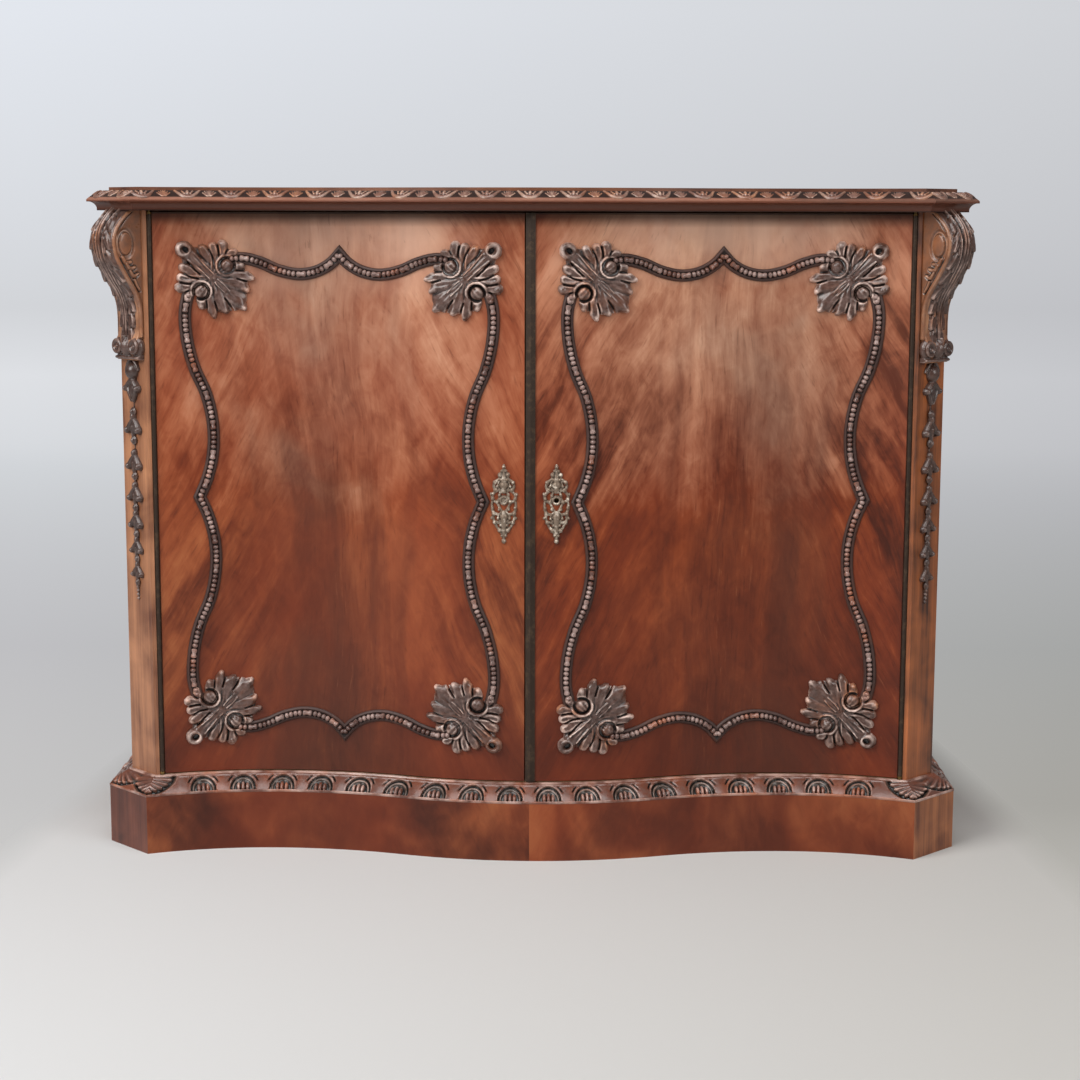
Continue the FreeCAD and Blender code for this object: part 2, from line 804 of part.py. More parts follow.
def make_ornament():
    """Leaves and mouldings of the right door."""
    leaves = [make_leaf(sign_x, sign_z) for sign_x in (-1, 1) for sign_z in (-1, 1)]
    rails = [cartouche_run(rail_path_shares, ((-1, sign), (1, sign))).cut(leaves) for sign in (-1, 1)]
    sides = [cartouche_run(side_path_shares, ((sign, -1), (sign, 1))).cut(leaves) for sign in (-1, 1)]
    return {"leaves": group(leaves), "rail_mouldings": group(rails), "side_mouldings": group(sides)}


def make_escutcheon():
    """A pierced plate with scrolled edges and two bosses, for the right door."""
    def place(share_x, share_z, sign):
        return (keyhole_station + sign * share_x * escutcheon_width / 2,
                escutcheon_level + share_z * escutcheon_height / 2)

    left = [place(*shares, -1) for shares in escutcheon_outline_shares]
    right = [place(*shares, 1) for shares in escutcheon_outline_shares]
    plate = raised([outline_face(left + right[::-1])], escutcheon_thickness)
    bosses = []
    windows = []
    for sign in (-1, 1):
        level = escutcheon_level + sign * escutcheon_boss_offset
        circle = Part.makeCircle(escutcheon_boss_radius,
                                 point(keyhole_station, front_y - overrun, level), backward)
        bosses.append(raised([Part.Face(Part.Wire(circle))], escutcheon_thickness + escutcheon_boss_rise))
        for side in (-1, 1):
            start = point(keyhole_station + side * escutcheon_window_offset, front_y,
                          escutcheon_level + sign * escutcheon_window_rise)
            windows.append(rod(escutcheon_window_radius, start, backward, overall_depth))
    return join([plate] + bosses).cut(windows)


# Doors and their fittings

def hinge_plate(level, outward):
    """A pivot hinge plate let into the end of the right door, with an arm and an eye."""
    z_from = min(level, level + outward * plate_thickness)
    z_to = z_from + plate_thickness
    axis_y = front_at(bead_station, body_inset)
    ends = (door_end - plate_length, door_end)
    front_inset = body_inset + plate_front_inset
    leaf = front_band(front_inset, front_inset + plate_width, ends, ends, z_from, z_to)
    root_x = bead_station - arm_reach
    root_y = front_at(root_x, front_inset + plate_width / 2)
    run, rise = bead_station - root_x, axis_y - root_y
    length = math.hypot(run, rise)
    shift = (-rise / length * arm_width / 2, run / length * arm_width / 2)
    arm = prism([(root_x + shift[0], root_y + shift[1]), (root_x - shift[0], root_y - shift[1]),
                 (bead_station - shift[0], axis_y - shift[1]),
                 (bead_station + shift[0], axis_y + shift[1])], z_from, z_to)
    eye = rod(bead_radius, point(bead_station, axis_y, z_from), up, plate_thickness)
    bore = rod(pin_radius + pin_play, point(bead_station, axis_y, z_from - overrun), up,
               plate_thickness + 2 * overrun)
    return join([leaf, arm, eye]).cut(bore)


def fixed_plate(level, outward):
    """A hinge plate let into the cupboard's bottom or top board, with the pivot pin."""
    z_from = min(level, level + outward * plate_thickness)
    axis_y = front_at(bead_station, body_inset)
    ends = (bead_station - plate_length, bead_station)
    inner = body_inset + plate_front_inset + plate_width
    leaf = front_band(body_inset + plate_front_inset, inner, ends, ends, z_from, z_from + plate_thickness)
    nose = rod(fixed_plate_nose, point(bead_station, axis_y, z_from), up, plate_thickness)
    web_back = front_at(bead_station, inner)
    web = box(bead_station - fixed_plate_nose, bead_station + fixed_plate_nose, axis_y, web_back,
              z_from, z_from + plate_thickness)
    gap = door_bottom_gap if outward < 0 else door_top_gap
    pin_start = point(bead_station, axis_y, level)
    pin = rod(pin_radius, pin_start, up * -outward, gap + plate_thickness)
    pieces = [leaf, web, nose, pin]
    if outward < 0:
        pieces.append(rod(collar_radius, pin_start, up, gap))
    return join(pieces)


def plate_screws(level, outward, far_end):
    """Two screws through a hinge plate and into the wood beyond it."""
    screws = []
    middle = body_inset + plate_front_inset + plate_width / 2
    for share in (0, 1):
        reach = plate_length - 2 * hinge_screw_end
        x = far_end - hinge_screw_end - share * reach
        start = point(x, front_at(x, middle), level)
        screws.append(rod(hinge_screw_radius, start, up * outward, hinge_screw_length))
    return screws


def lock_parts():
    """Lock case, bolt and the spaces that they need in the right door."""
    case_back = crest_y + body_inset + door_thickness
    case_front = case_back - lock_depth
    low, high = keyhole_height - lock_height / 2, keyhole_height + lock_height / 2
    right = right_door_edge + lock_length
    block = box(right_door_edge, right, case_front, case_back, low, high)
    cavity = box(right_door_edge + lock_wall, right - lock_wall, case_front + lock_wall,
                 case_back - lock_wall, low + lock_wall, high - lock_wall)
    bolt_y = (case_front + case_back) / 2
    bolt_left = right_door_edge + lock_bolt_setback
    half_y, half_z = lock_bolt_width / 2, lock_bolt_height / 2
    bolt_z = keyhole_height - lock_bolt_height
    bolt = box(bolt_left, bolt_left + lock_bolt_length, bolt_y - half_y, bolt_y + half_y,
               bolt_z - half_z, bolt_z + half_z)
    play = lock_bolt_play
    mouth = box(right_door_edge - overrun, right_door_edge + lock_wall + overrun,
                bolt_y - half_y - play, bolt_y + half_y + play,
                bolt_z - half_z - play, bolt_z + half_z + play)
    keyway = rod(keyhole_radius, point(keyhole_station, front_y, keyhole_height), backward,
                 case_front + lock_wall + overrun - front_y)
    pin = rod(lock_pin_radius, point(keyhole_station, case_front + lock_wall, keyhole_height),
              backward, lock_depth - 2 * lock_wall)
    case = join([block.cut([cavity, mouth, keyway]), pin])
    pocket_back = front_at(right, body_inset + door_thickness) + overrun
    pocket = box(right_door_edge - overrun, right, case_front, pocket_back, low, high)
    clear = mortise_clearance
    strike = box(left_door_edge - strike_thickness, left_door_edge,
                 bolt_y - strike_width / 2, bolt_y + strike_width / 2,
                 bolt_z - strike_height / 2, bolt_z + strike_height / 2)
    mortise = box(left_door_edge - lock_bolt_travel - clear, left_door_edge + overrun,
                  bolt_y - half_y - clear, bolt_y + half_y + clear,
                  bolt_z - half_z - clear, bolt_z + half_z + clear)
    return {"case": case, "bolt": bolt, "pocket": pocket, "keyway": keyway,
            "strike": strike.cut(mortise), "strike_seat": strike, "mortise": mortise}


def surface_bolt(tip_level, outward):
    """Case, sliding rod, keeper and keeper hole of one bolt on the left door's back."""
    plate_y = front_at(bolt_station - bolt_plate_width / 2, body_inset + door_thickness)
    plate_front = plate_y - bolt_plate_sink
    plate_back = plate_front + bolt_plate_thickness
    rod_y = plate_back + bolt_rod_standoff
    guide_back = rod_y + bolt_rod_standoff
    half = bolt_plate_width / 2
    plate_end = tip_level - outward * (bolt_plate_end - bolt_tip_setback)
    ends = sorted((plate_end, plate_end - outward * bolt_plate_length))
    pieces = [box(-bolt_station - half, -bolt_station + half, plate_front, plate_back, *ends)]
    for end in (ends[0] + bolt_guide_end, ends[1] - bolt_guide_end - bolt_guide_height):
        pieces.append(box(-bolt_station - half, -bolt_station + half, plate_back, guide_back,
                          end, end + bolt_guide_height))
    bore = rod(bolt_rod_radius + bolt_rod_play, point(-bolt_station, rod_y, ends[0] - overrun), up,
               bolt_plate_length + 2 * overrun)
    case = join(pieces).cut(bore)
    shaft = rod(bolt_rod_radius, point(-bolt_station, rod_y, tip_level), up * -outward, bolt_rod_length)
    knob_level = tip_level - outward * (bolt_plate_length / 2 + bolt_travel / 2)
    knob = rod(bolt_knob_radius, point(-bolt_station, rod_y, knob_level), backward,
               bolt_rod_standoff + bolt_knob_length)
    seat = top_underside if outward > 0 else floor_level
    keeper_z = sorted((seat, seat + outward * keeper_thickness))
    keeper = box(-bolt_station - keeper_width / 2, -bolt_station + keeper_width / 2,
                 rod_y - keeper_length / 2, rod_y + keeper_length / 2, *keeper_z)
    hole = rod(bolt_rod_radius + keeper_clearance,
               point(-bolt_station, rod_y, seat - outward * overrun), up * outward,
               bolt_hole_depth + overrun)
    return {"case": case, "rod": join([shaft, knob]), "keeper": keeper.cut(hole),
            "keeper_seat": keeper, "hole": hole}


def make_strip():
    """The two-sided strip that stands on the right door's meeting edge."""
    left, right = right_door_edge, strip_width / 2
    middle = (left + right) / 2
    seat = [point(x, front_at(x, body_inset), door_bottom) for x in (left, middle, right)]
    ridge = point(middle, seat[1].y - strip_projection, door_bottom)
    shoulder_left = point(left, seat[0].y - strip_edge, door_bottom)
    shoulder_right = point(right, seat[2].y - strip_edge, door_bottom)
    edges = [Part.Arc(*seat).toShape()]
    turns = [seat[2], shoulder_right, ridge, shoulder_left, seat[0]]
    for start, end in zip(turns, turns[1:]):
        edges.append(Part.makeLine(start, end))
    return Part.Face(Part.Wire(edges)).extrude(up * (door_top - door_bottom))


def door_slab(outer, inner, x_from, x_to):
    """A full-height curved layer of a door."""
    ends = (x_from, x_to)
    return front_band(outer, inner, ends, ends, door_bottom, door_top)


def make_doors(carcass):
    """Both doors with their fittings; the boards of the carcass are cut to take theirs."""
    skin = body_inset + veneer_thickness
    back = body_inset + door_thickness
    plates = [hinge_plate(door_bottom, 1), hinge_plate(door_top, -1)]
    screws = plate_screws(door_bottom, 1, door_end) + plate_screws(door_top, -1, door_end)
    left_plates = [mirrored(plate) for plate in plates]
    left_screws = [mirrored(screw) for screw in screws]
    lock = lock_parts()
    top_bolt = surface_bolt(door_top - bolt_tip_setback, 1)
    bottom_bolt = surface_bolt(door_bottom + bolt_tip_setback, -1)
    bolts = [top_bolt, bottom_bolt]

    right_core = door_slab(skin, back, right_door_edge, door_end)
    right_veneer = door_slab(body_inset, skin, right_door_edge, door_end)
    left_core = door_slab(skin, back, -door_end, left_door_edge)
    left_veneer = door_slab(body_inset, skin, -door_end, left_door_edge)
    ornament = make_ornament()
    plate = make_escutcheon()

    fixed = [fixed_plate(floor_level, -1), fixed_plate(top_underside, 1)]
    fixed_screws = plate_screws(floor_level, -1, bead_station)
    fixed_screws += plate_screws(top_underside, 1, bead_station)
    fixed += [mirrored(piece) for piece in fixed]
    fixed_screws += [mirrored(screw) for screw in fixed_screws]
    seats = [bolt["keeper_seat"] for bolt in bolts] + [bolt["hole"] for bolt in bolts]
    for name in ("bottom_board", "carcass_top", "base_moulding_front"):
        carcass[name] = carcass[name].cut(fixed + fixed_screws + seats)

    cases = [bolt["case"] for bolt in bolts]
    left_cuts = left_plates + left_screws + cases + [lock["strike_seat"], lock["mortise"]]
    right_cuts = plates + screws + [lock["pocket"], lock["keyway"]]
    return {
        "left_door_core": left_core.cut(left_cuts),
        "left_door_veneer": left_veneer.cut(left_plates + [lock["strike_seat"]]),
        "left_door_rail_mouldings": mirrored(ornament["rail_mouldings"]),
        "left_door_side_mouldings": mirrored(ornament["side_mouldings"]),
        "left_door_leaves": mirrored(ornament["leaves"]),
        "left_escutcheon": mirrored(plate),
        "left_door_hinge_plates": group([piece.cut(left_screws) for piece in left_plates]),
        "left_door_screws": group(left_screws),
        "bolt_cases": group(cases),
        "strike_plate": lock["strike"],
        "top_bolt": top_bolt["rod"],
        "bottom_bolt": bottom_bolt["rod"],
        "right_door_core": right_core.cut(right_cuts),
        "right_door_veneer": right_veneer.cut(plates + [lock["keyway"]]),
        "right_door_rail_mouldings": ornament["rail_mouldings"],
        "right_door_side_mouldings": ornament["side_mouldings"],
        "right_door_leaves": ornament["leaves"],
        "right_escutcheon": plate.cut(lock["keyway"]),
        "right_door_hinge_plates": group([piece.cut(screws) for piece in plates]),
        "right_door_screws": group(screws),
        "lock_case": lock["case"],
        "lock_bolt": lock["bolt"],
        "meeting_strip": make_strip(),
        "carcass_hinge_plates": group([piece.cut(fixed_screws) for piece in fixed]),
        "carcass_hinge_screws": group(fixed_screws),
        "bolt_keepers": group([bolt["keeper"] for bolt in bolts]),
    }


def main():
    """Builds every piece and writes one file for each."""
    pieces = {}
    for maker in (make_plinth, make_base, make_top, make_carcass, make_back):
        pieces.update(maker())
    console, husks = make_console(), make_husks()
    for side in ("left", "right"):
        pieces["console_" + side] = on_side(console, side)
        pieces["husk_drop_" + side] = on_side(husks, side)
    pieces.update(make_doors(pieces))
    os.makedirs("parts", exist_ok=True)
    for name, shape in pieces.items():
        placed = shape.translated(point(0, -middle_y))
        placed.exportStep("parts/" + name + ".step")
        sound = "" if placed.isValid() else "  not valid"
        print(name, len(placed.Solids), round(placed.Volume), sound)


main()
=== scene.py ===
"""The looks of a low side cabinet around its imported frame: carvings, veneers, fittings, floor and light.

Every length is in metres, in the frame's own axes: X to the right, Y to the back, Z up. Only the flat
drawings of carved pieces are in millimetres.
"""

import logging
import math
from collections.abc import Callable, Iterable, Sequence
from dataclasses import dataclass, field
from enum import Enum, auto

import bpy
import numpy as np
from mathutils import Matrix, Vector


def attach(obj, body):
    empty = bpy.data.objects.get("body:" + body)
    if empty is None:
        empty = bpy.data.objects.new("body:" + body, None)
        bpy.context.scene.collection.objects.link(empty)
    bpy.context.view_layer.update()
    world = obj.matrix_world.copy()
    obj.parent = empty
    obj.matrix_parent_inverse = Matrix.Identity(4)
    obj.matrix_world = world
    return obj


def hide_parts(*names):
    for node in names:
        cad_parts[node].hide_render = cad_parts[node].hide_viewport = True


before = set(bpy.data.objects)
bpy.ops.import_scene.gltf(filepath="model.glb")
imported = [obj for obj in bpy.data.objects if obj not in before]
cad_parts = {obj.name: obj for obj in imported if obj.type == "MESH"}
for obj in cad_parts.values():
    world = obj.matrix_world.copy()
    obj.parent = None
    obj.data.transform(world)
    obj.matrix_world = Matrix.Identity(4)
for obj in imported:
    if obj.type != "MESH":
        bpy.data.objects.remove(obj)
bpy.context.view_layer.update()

log = logging.getLogger("cabinet")

Flat = tuple[float, float]
Spot = tuple[float, float, float]
Stroke = Sequence[Spot]
Colour = tuple[float, float, float]
Socket = bpy.types.NodeSocket
NodeTree = bpy.types.NodeTree
Material = bpy.types.Material
Thing = bpy.types.Object
Mapping = Callable[[np.ndarray], np.ndarray]
MILLIMETRE = 0.001
DIAGONAL = math.sqrt(0.5)
BOTH = (-1, 1)


class Side(Enum):
    """A half of the cabinet; the value is the sign of its X."""

    LEFT = -1
    RIGHT = 1

    @property
    def word(self) -> str:
        """The side's name in piece names."""
        return self.name.lower()


class Axis(Enum):
    """The direction that a board's grain runs in."""

    X = 0
    Y = 1
    Z = 2


class Mark(Enum):
    """What the points of a carved mesh store: how far they stand out, and whether they are sunk ground."""

    RIDGE = "ridge"
    SUNK = "sunk"


def paint(red: int, green: int, blue: int) -> Colour:
    """Turn a colour as a screen shows it into the linear one that a shader takes.

    Args:
        red: Red from 0 to 255.
        green: Green from 0 to 255.
        blue: Blue from 0 to 255.

    Returns:
        The linear colour, each part from 0 to 1.
    """
    shares = (part / 255 for part in (red, green, blue))
    return tuple(share / 12.92 if share <= 0.04045 else ((share + 0.055) / 1.055) ** 2.4 for share in shares)


def dimmed(colour: Colour, share: float) -> Colour:
    """A linear colour at a share of its brightness."""
    return tuple(share * part for part in colour)


def toned(places: Sequence[float], *colours: tuple[int, int, int]) -> list[tuple[float, Colour]]:
    """Pair the places of a ramp with colours as a screen shows them."""
    return [(place, paint(*colour)) for place, colour in zip(places, colours)]


# ---------------------------------------------------------------- node trees


class Value:
    """A number in a node tree; arithmetic on it adds the nodes that work out the result."""

    def __init__(self, tree: "Tree", socket: Socket) -> None:
        """Keep the tree and the socket that gives the number."""
        self.tree, self.socket = tree, socket

    def __add__(self, other: object) -> "Value":
        """This and another value or constant added up."""
        return self.tree.math("ADD", self, other)

    def __sub__(self, other: object) -> "Value":
        """This less another value or constant."""
        return self.tree.math("SUBTRACT", self, other)

    def __mul__(self, other: object) -> "Value":
        """This times another value or constant."""
        return self.tree.math("MULTIPLY", self, other)

    def __truediv__(self, other: object) -> "Value":
        """This divided by another value or constant."""
        return self.tree.math("DIVIDE", self, other)

    def __abs__(self) -> "Value":
        """This without its sign."""
        return self.tree.math("ABSOLUTE", self)

    def swung(self, source: "Value", reach: object) -> "Value":
        """This pushed to either side by a noise."""
        return self + (source - 0.5) * reach

    def spread(self, low: float, high: float, to_low: float = 0.0, to_high: float = 1.0) -> "Value":
        """Stretch the range from low and high to two other ends, without going past them."""
        node = self.tree.add("MapRange", {0: self, 1: low, 2: high, 3: to_low, 4: to_high}, clamp=True)
        return Value(self.tree, node.outputs[0])


class Tree:
    """A node tree that is built call by call, a material's or a group's."""

    def __init__(self, tree: NodeTree) -> None:
        """Keep the tree, emptied."""
        self.tree = tree
        tree.nodes.clear()

    def add(self, kind: str, inputs: dict | None = None, **settings: object) -> bpy.types.Node:
        """Add a node, set it and join what feeds it.

        Args:
            kind: The node's type without its ShaderNode prefix.
            inputs: What goes into each input, by name or number: a value, a socket or a constant.
            settings: The node's own properties.

        Returns:
            The new node.
        """
        node = self.tree.nodes.new(kind if kind.startswith("Node") else "ShaderNode" + kind)
        for name, value in settings.items():
            setattr(node, name, value)
        for name, value in (inputs or {}).items():
            socket, source = node.inputs[name], value.socket if isinstance(value, Value) else value
            if isinstance(source, Socket):
                self.tree.links.new(source, socket)
            else:
                socket.default_value = (*source, 1.0) if socket.type == "RGBA" and len(source) == 3 else source
        return node

    def math(self, operation: str, *values: object) -> Value:
        """A sum, product or other result of one or two values."""
        return Value(self, self.add("Math", dict(enumerate(values)), operation=operation).outputs[0])

    def split(self, vector: Socket) -> list[Value]:
        """The X, Y and Z of a vector."""
        return [Value(self, part) for part in self.add("SeparateXYZ", {0: vector}).outputs]

    def vector(self, x: object, y: object, z: object) -> Socket:
        """A vector from three values."""
        return self.add("CombineXYZ", {0: x, 1: y, 2: z}).outputs[0]

    def place(self) -> Socket:
        """The point on the piece, in the frame's axes."""
        return self.add("TexCoord").outputs["Object"]

    def mark(self, mark: Mark) -> Value:
        """What the piece's own mesh stores under a mark."""
        return Value(self, self.add("Attribute", attribute_name=mark.value).outputs["Fac"])

    def noise(self, vector: Socket, scale: float, detail: float = 3.0, rough: float = 0.55,
              twist: float = 0.0) -> Value:
        """Soft noise from about 0.2 to 0.8.

        Args:
            vector: Where to read it.
            scale: How many swings per unit of the vector.
            detail: How many finer layers it has.
            rough: How strong the finer layers are.
            twist: How far the noise distorts itself.

        Returns:
            The noise's value.
        """
        return Value(self, self.add("TexNoise", {"Vector": vector, "Scale": scale, "Detail": detail,
                                                 "Roughness": rough, "Distortion": twist}).outputs[0])

    def ramp(self, value: Value, stops: Sequence[tuple[float, Colour]]) -> Socket:
        """A colour read from a row of stops.

        Args:
            value: Where on the row to read, from 0 to 1.
            stops: Pairs of place and colour.

        Returns:
            The colour.
        """
        node = self.add("ValToRGB", {0: value})
        elements = node.color_ramp.elements
        while len(elements) < len(stops):
            elements.new(0.5)
        for element, (spot, colour) in zip(elements, stops):
            element.position = spot
            element.color = (*colour, 1.0)
        return node.outputs[0]

    def mix(self, share: object, first: object, second: object, blend: str = "MIX") -> Socket:
        """Two colours mixed by a share of the second."""
        node = self.add("Mix", {0: share, 6: first, 7: second}, data_type="RGBA", blend_type=blend)
        return node.outputs[2]

    def coats(self, colour: object, *coats: tuple[object, object]) -> Socket:
        """Lay coats over a colour, each a share and the colour that it takes."""
        for share, coat in coats:
            colour = self.mix(share, colour, coat)
        return colour

    def bump(self, height: Value, strength: float, distance: float) -> Socket:
        """A normal tilted by a height."""
        return self.add("Bump", {"Height": height, "Strength": strength, "Distance": distance}).outputs[0]

    def use(self, group: NodeTree, **inputs: object) -> dict[str, Value]:
        """Place a node group, feed its inputs, named with spaces for underscores, and give its outputs."""
        node = self.add("Group", {name.replace("_", " "): value for name, value in inputs.items()}, node_tree=group)
        return {output.name: Value(self, output) for output in node.outputs}

    def grain(self, along: Axis, seed: float) -> dict[str, Value]:
        """The wood grain that runs along an axis: its figure, pores and height."""
        parts = self.split(self.place())
        across = [part for part in Axis if part is not along]
        return self.use(Shared.grain, Place=self.vector(*(parts[part.value] for part in (*across, along))), Seed=seed)

    def shade(self, colour: object, roughness: object, normal: Socket, **fixed: float) -> None:
        """Finish a material with one glossy surface shader.

        Args:
            colour: Base colour, a socket or a constant.
            roughness: Roughness, a value or a constant.
            normal: The bumped normal.
            fixed: Constants for the shader's own sockets, named with spaces for underscores.
        """
        surface = self.add("BsdfPrincipled", {"Base Color": colour, "Roughness": roughness, "Normal": normal,
                                              **{name.replace("_", " "): value for name, value in fixed.items()}})
        self.add("OutputMaterial", {"Surface": surface.outputs[0]})


def new_group(name: str, numbers: dict[str, float], outputs: Sequence[str]) -> tuple[Tree, Socket, dict[str, Value]]:
    """Start a node group with a place and some numbers as inputs.

    Args:
        name: The group's name.
        numbers: The usual value of each number that it takes.
        outputs: The numbers that it gives.

    Returns:
        The tree, the place that it reads and its numbers by name.
    """
    group = bpy.data.node_groups.new(name, "ShaderNodeTree")
    tree = Tree(group)
    group.interface.new_socket(name="Place", in_out="INPUT", socket_type="NodeSocketVector")
    for title, usual in numbers.items():
        group.interface.new_socket(name=title, in_out="INPUT", socket_type="NodeSocketFloat").default_value = usual
    for title in outputs:
        group.interface.new_socket(name=title, in_out="OUTPUT", socket_type="NodeSocketFloat")
    given = tree.add("NodeGroupInput").outputs
    return tree, given["Place"], {title: Value(tree, given[title]) for title in numbers}


def grain_group() -> NodeTree:
    """Straight wood grain with pores, for a place whose Z runs along the grain.

    Returns:
        A group that puts out the figure, the pores and a height.
    """
    tree, place, given = new_group("wood grain", {"Seed": 0.0}, ("Figure", "Pores", "Height"))
    x, y, z = tree.split(place)

    def streaks(side: Value, across: float, down: float, detail: float, rough: float = 0.6) -> Value:
        """Noise that is stretched along the grain."""
        return tree.noise(tree.vector(side * across, y * across, z * down), 1.0, detail, rough)

    shifted = x + given["Seed"]
    bent = shifted + streaks(shifted, 4.0, 1.6, 2.0, 0.55) * 0.06
    broad, fine = streaks(bent, 38.0, 1.5, 4.0), streaks(bent, 420.0, 9.0, 2.0)
    pores = fine.spread(0.60, 0.74)
    figure = broad * 0.72 + fine * 0.28
    tree.add("NodeGroupOutput", {"Figure": figure, "Pores": pores, "Height": figure - pores * 0.6})
    return tree.tree


def flame_group() -> NodeTree:
    """The figure of veneer cut from a crotch: upright streaks on the spine, slanted feathers beside it.

    Returns:
        A group that puts out tone, redness, plume and fibre masks.
    """
    usual = {"Seed": 0.0, "Slant": 0.5, "Plume width": 0.07, "Plume shift": 0.0, "Streak": 1.0, "Cloud": 0.66}
    tree, place, given = new_group("flame figure", usual, ("Tone", "Red", "Plume", "Fibre"))
    u, _, v = tree.split(place)
    seed, strength = given["Seed"], given["Streak"]

    def streaks(x: Value, across: float, y: Value, down: float, detail: float, twist: float = 0.0) -> Value:
        """Noise that is stretched along the figure."""
        return tree.noise(tree.vector(x * across, seed, y * down), 1.0, detail, 0.6, twist)

    def blend(inner: Value, outside: Value) -> Value:
        """The spine's value on the spine and the feathers' beside it."""
        return inner + outer * (outside - inner)

    wander = tree.noise(tree.vector(u, seed, v), 2.4, 2.0)
    ripple = tree.noise(tree.vector(v, seed, u), 7.0, 2.0)
    side, level = u.swung(wander, 0.09), v.swung(ripple, 0.035).swung(wander, 0.08)
    away = tree.math("SQRT", side * side + 0.0022)
    slanted, down = away + level * given["Slant"], level * 0.9 - away * 0.45
    feather = streaks(slanted, 24.0, down, 4.2, 4.0, 0.5)
    streak = streaks(side, 26.0, level, 3.4, 4.0, 0.4)
    outer = abs(side).swung(feather, 0.10).spread(0.02, 0.15)
    fibre = blend(streaks(side, 260.0, level, 26.0, 3.0, 0.3), streaks(slanted, 260.0, down, 30.0, 3.0, 0.3))
    cloud = tree.noise(tree.vector(side + seed, 0.3, level * 0.8), 6.5, 3.0, 0.55, 0.5)
    reach = abs(side.swung(cloud, 0.05) + given["Plume shift"]) / given["Plume width"]
    plume = reach.swung(streak, 2.4).spread(0.2, 1.8, 1.0, 0.0) * cloud.spread(0.34, 0.60, 0.30, 1.0)
    broad = (blend(streak, feather) - 0.5) * (abs(u).spread(0.08, 0.25, 0.70, 1.35) * strength) + 0.5
    mottle = tree.noise(tree.vector(u, seed, v * 0.62), 46.0, 3.0, 0.6, 0.8)
    tone = broad.swung(cloud, given["Cloud"]).swung(mottle, 0.30).swung(fibre, strength * 0.24)
    red = streaks(slanted, 6.0, down, 1.2, 2.0).spread(0.36, 0.64)
    tree.add("NodeGroupOutput", {"Tone": tone, "Red": red, "Plume": plume, "Fibre": fibre})
    return tree.tree


def carving_group() -> NodeTree:
    """Where a carving shows wear with painted highlights on its ridges, where its hollows take painted shade, and
    where it holds old wax, from the ridge mark on its mesh.

    Returns:
        A group that puts out the ridges' wear with its painted highlights, the hollows' painted shade, small blotches
        and the warm patches.
    """
    tree, place, given = new_group("carving wear", {"Mark": 0.5}, ("Worn", "Hollow", "Blotch", "Warmth"))
    patches, blotch, warmth = (tree.noise(place, scale) for scale in (38.0, 160.0, 21.0))
    lifted = given["Mark"].swung(blotch, 0.25)
    tree.add("NodeGroupOutput", {"Worn": lifted.spread(0.60, 0.86) * patches.spread(0.38, 0.60),
                                 "Hollow": lifted.spread(0.46, 0.22), "Blotch": blotch,
                                 "Warmth": warmth.spread(0.50, 0.66)})
    return tree.tree


class Shared:
    """The node groups that more than one finish uses."""

    grain: NodeTree
    flame: NodeTree
    carving: NodeTree

    @classmethod
    def build(cls) -> None:
        """Make the groups once."""
        cls.grain, cls.flame, cls.carving = grain_group(), flame_group(), carving_group()


# ------------------------------------------------------------------ finishes


@dataclass(frozen=True)
class Finish:
    """A named finish that makes one material."""

    name: str

    def build(self) -> Material:
        """Make the material."""
        material = bpy.data.materials.new(self.name)
        material.use_nodes = True
        self.draw(Tree(material.node_tree))
        return material

    def draw(self, tree: Tree) -> None:
        """Draw the material's nodes on its empty tree."""
        raise NotImplementedError(self.name)


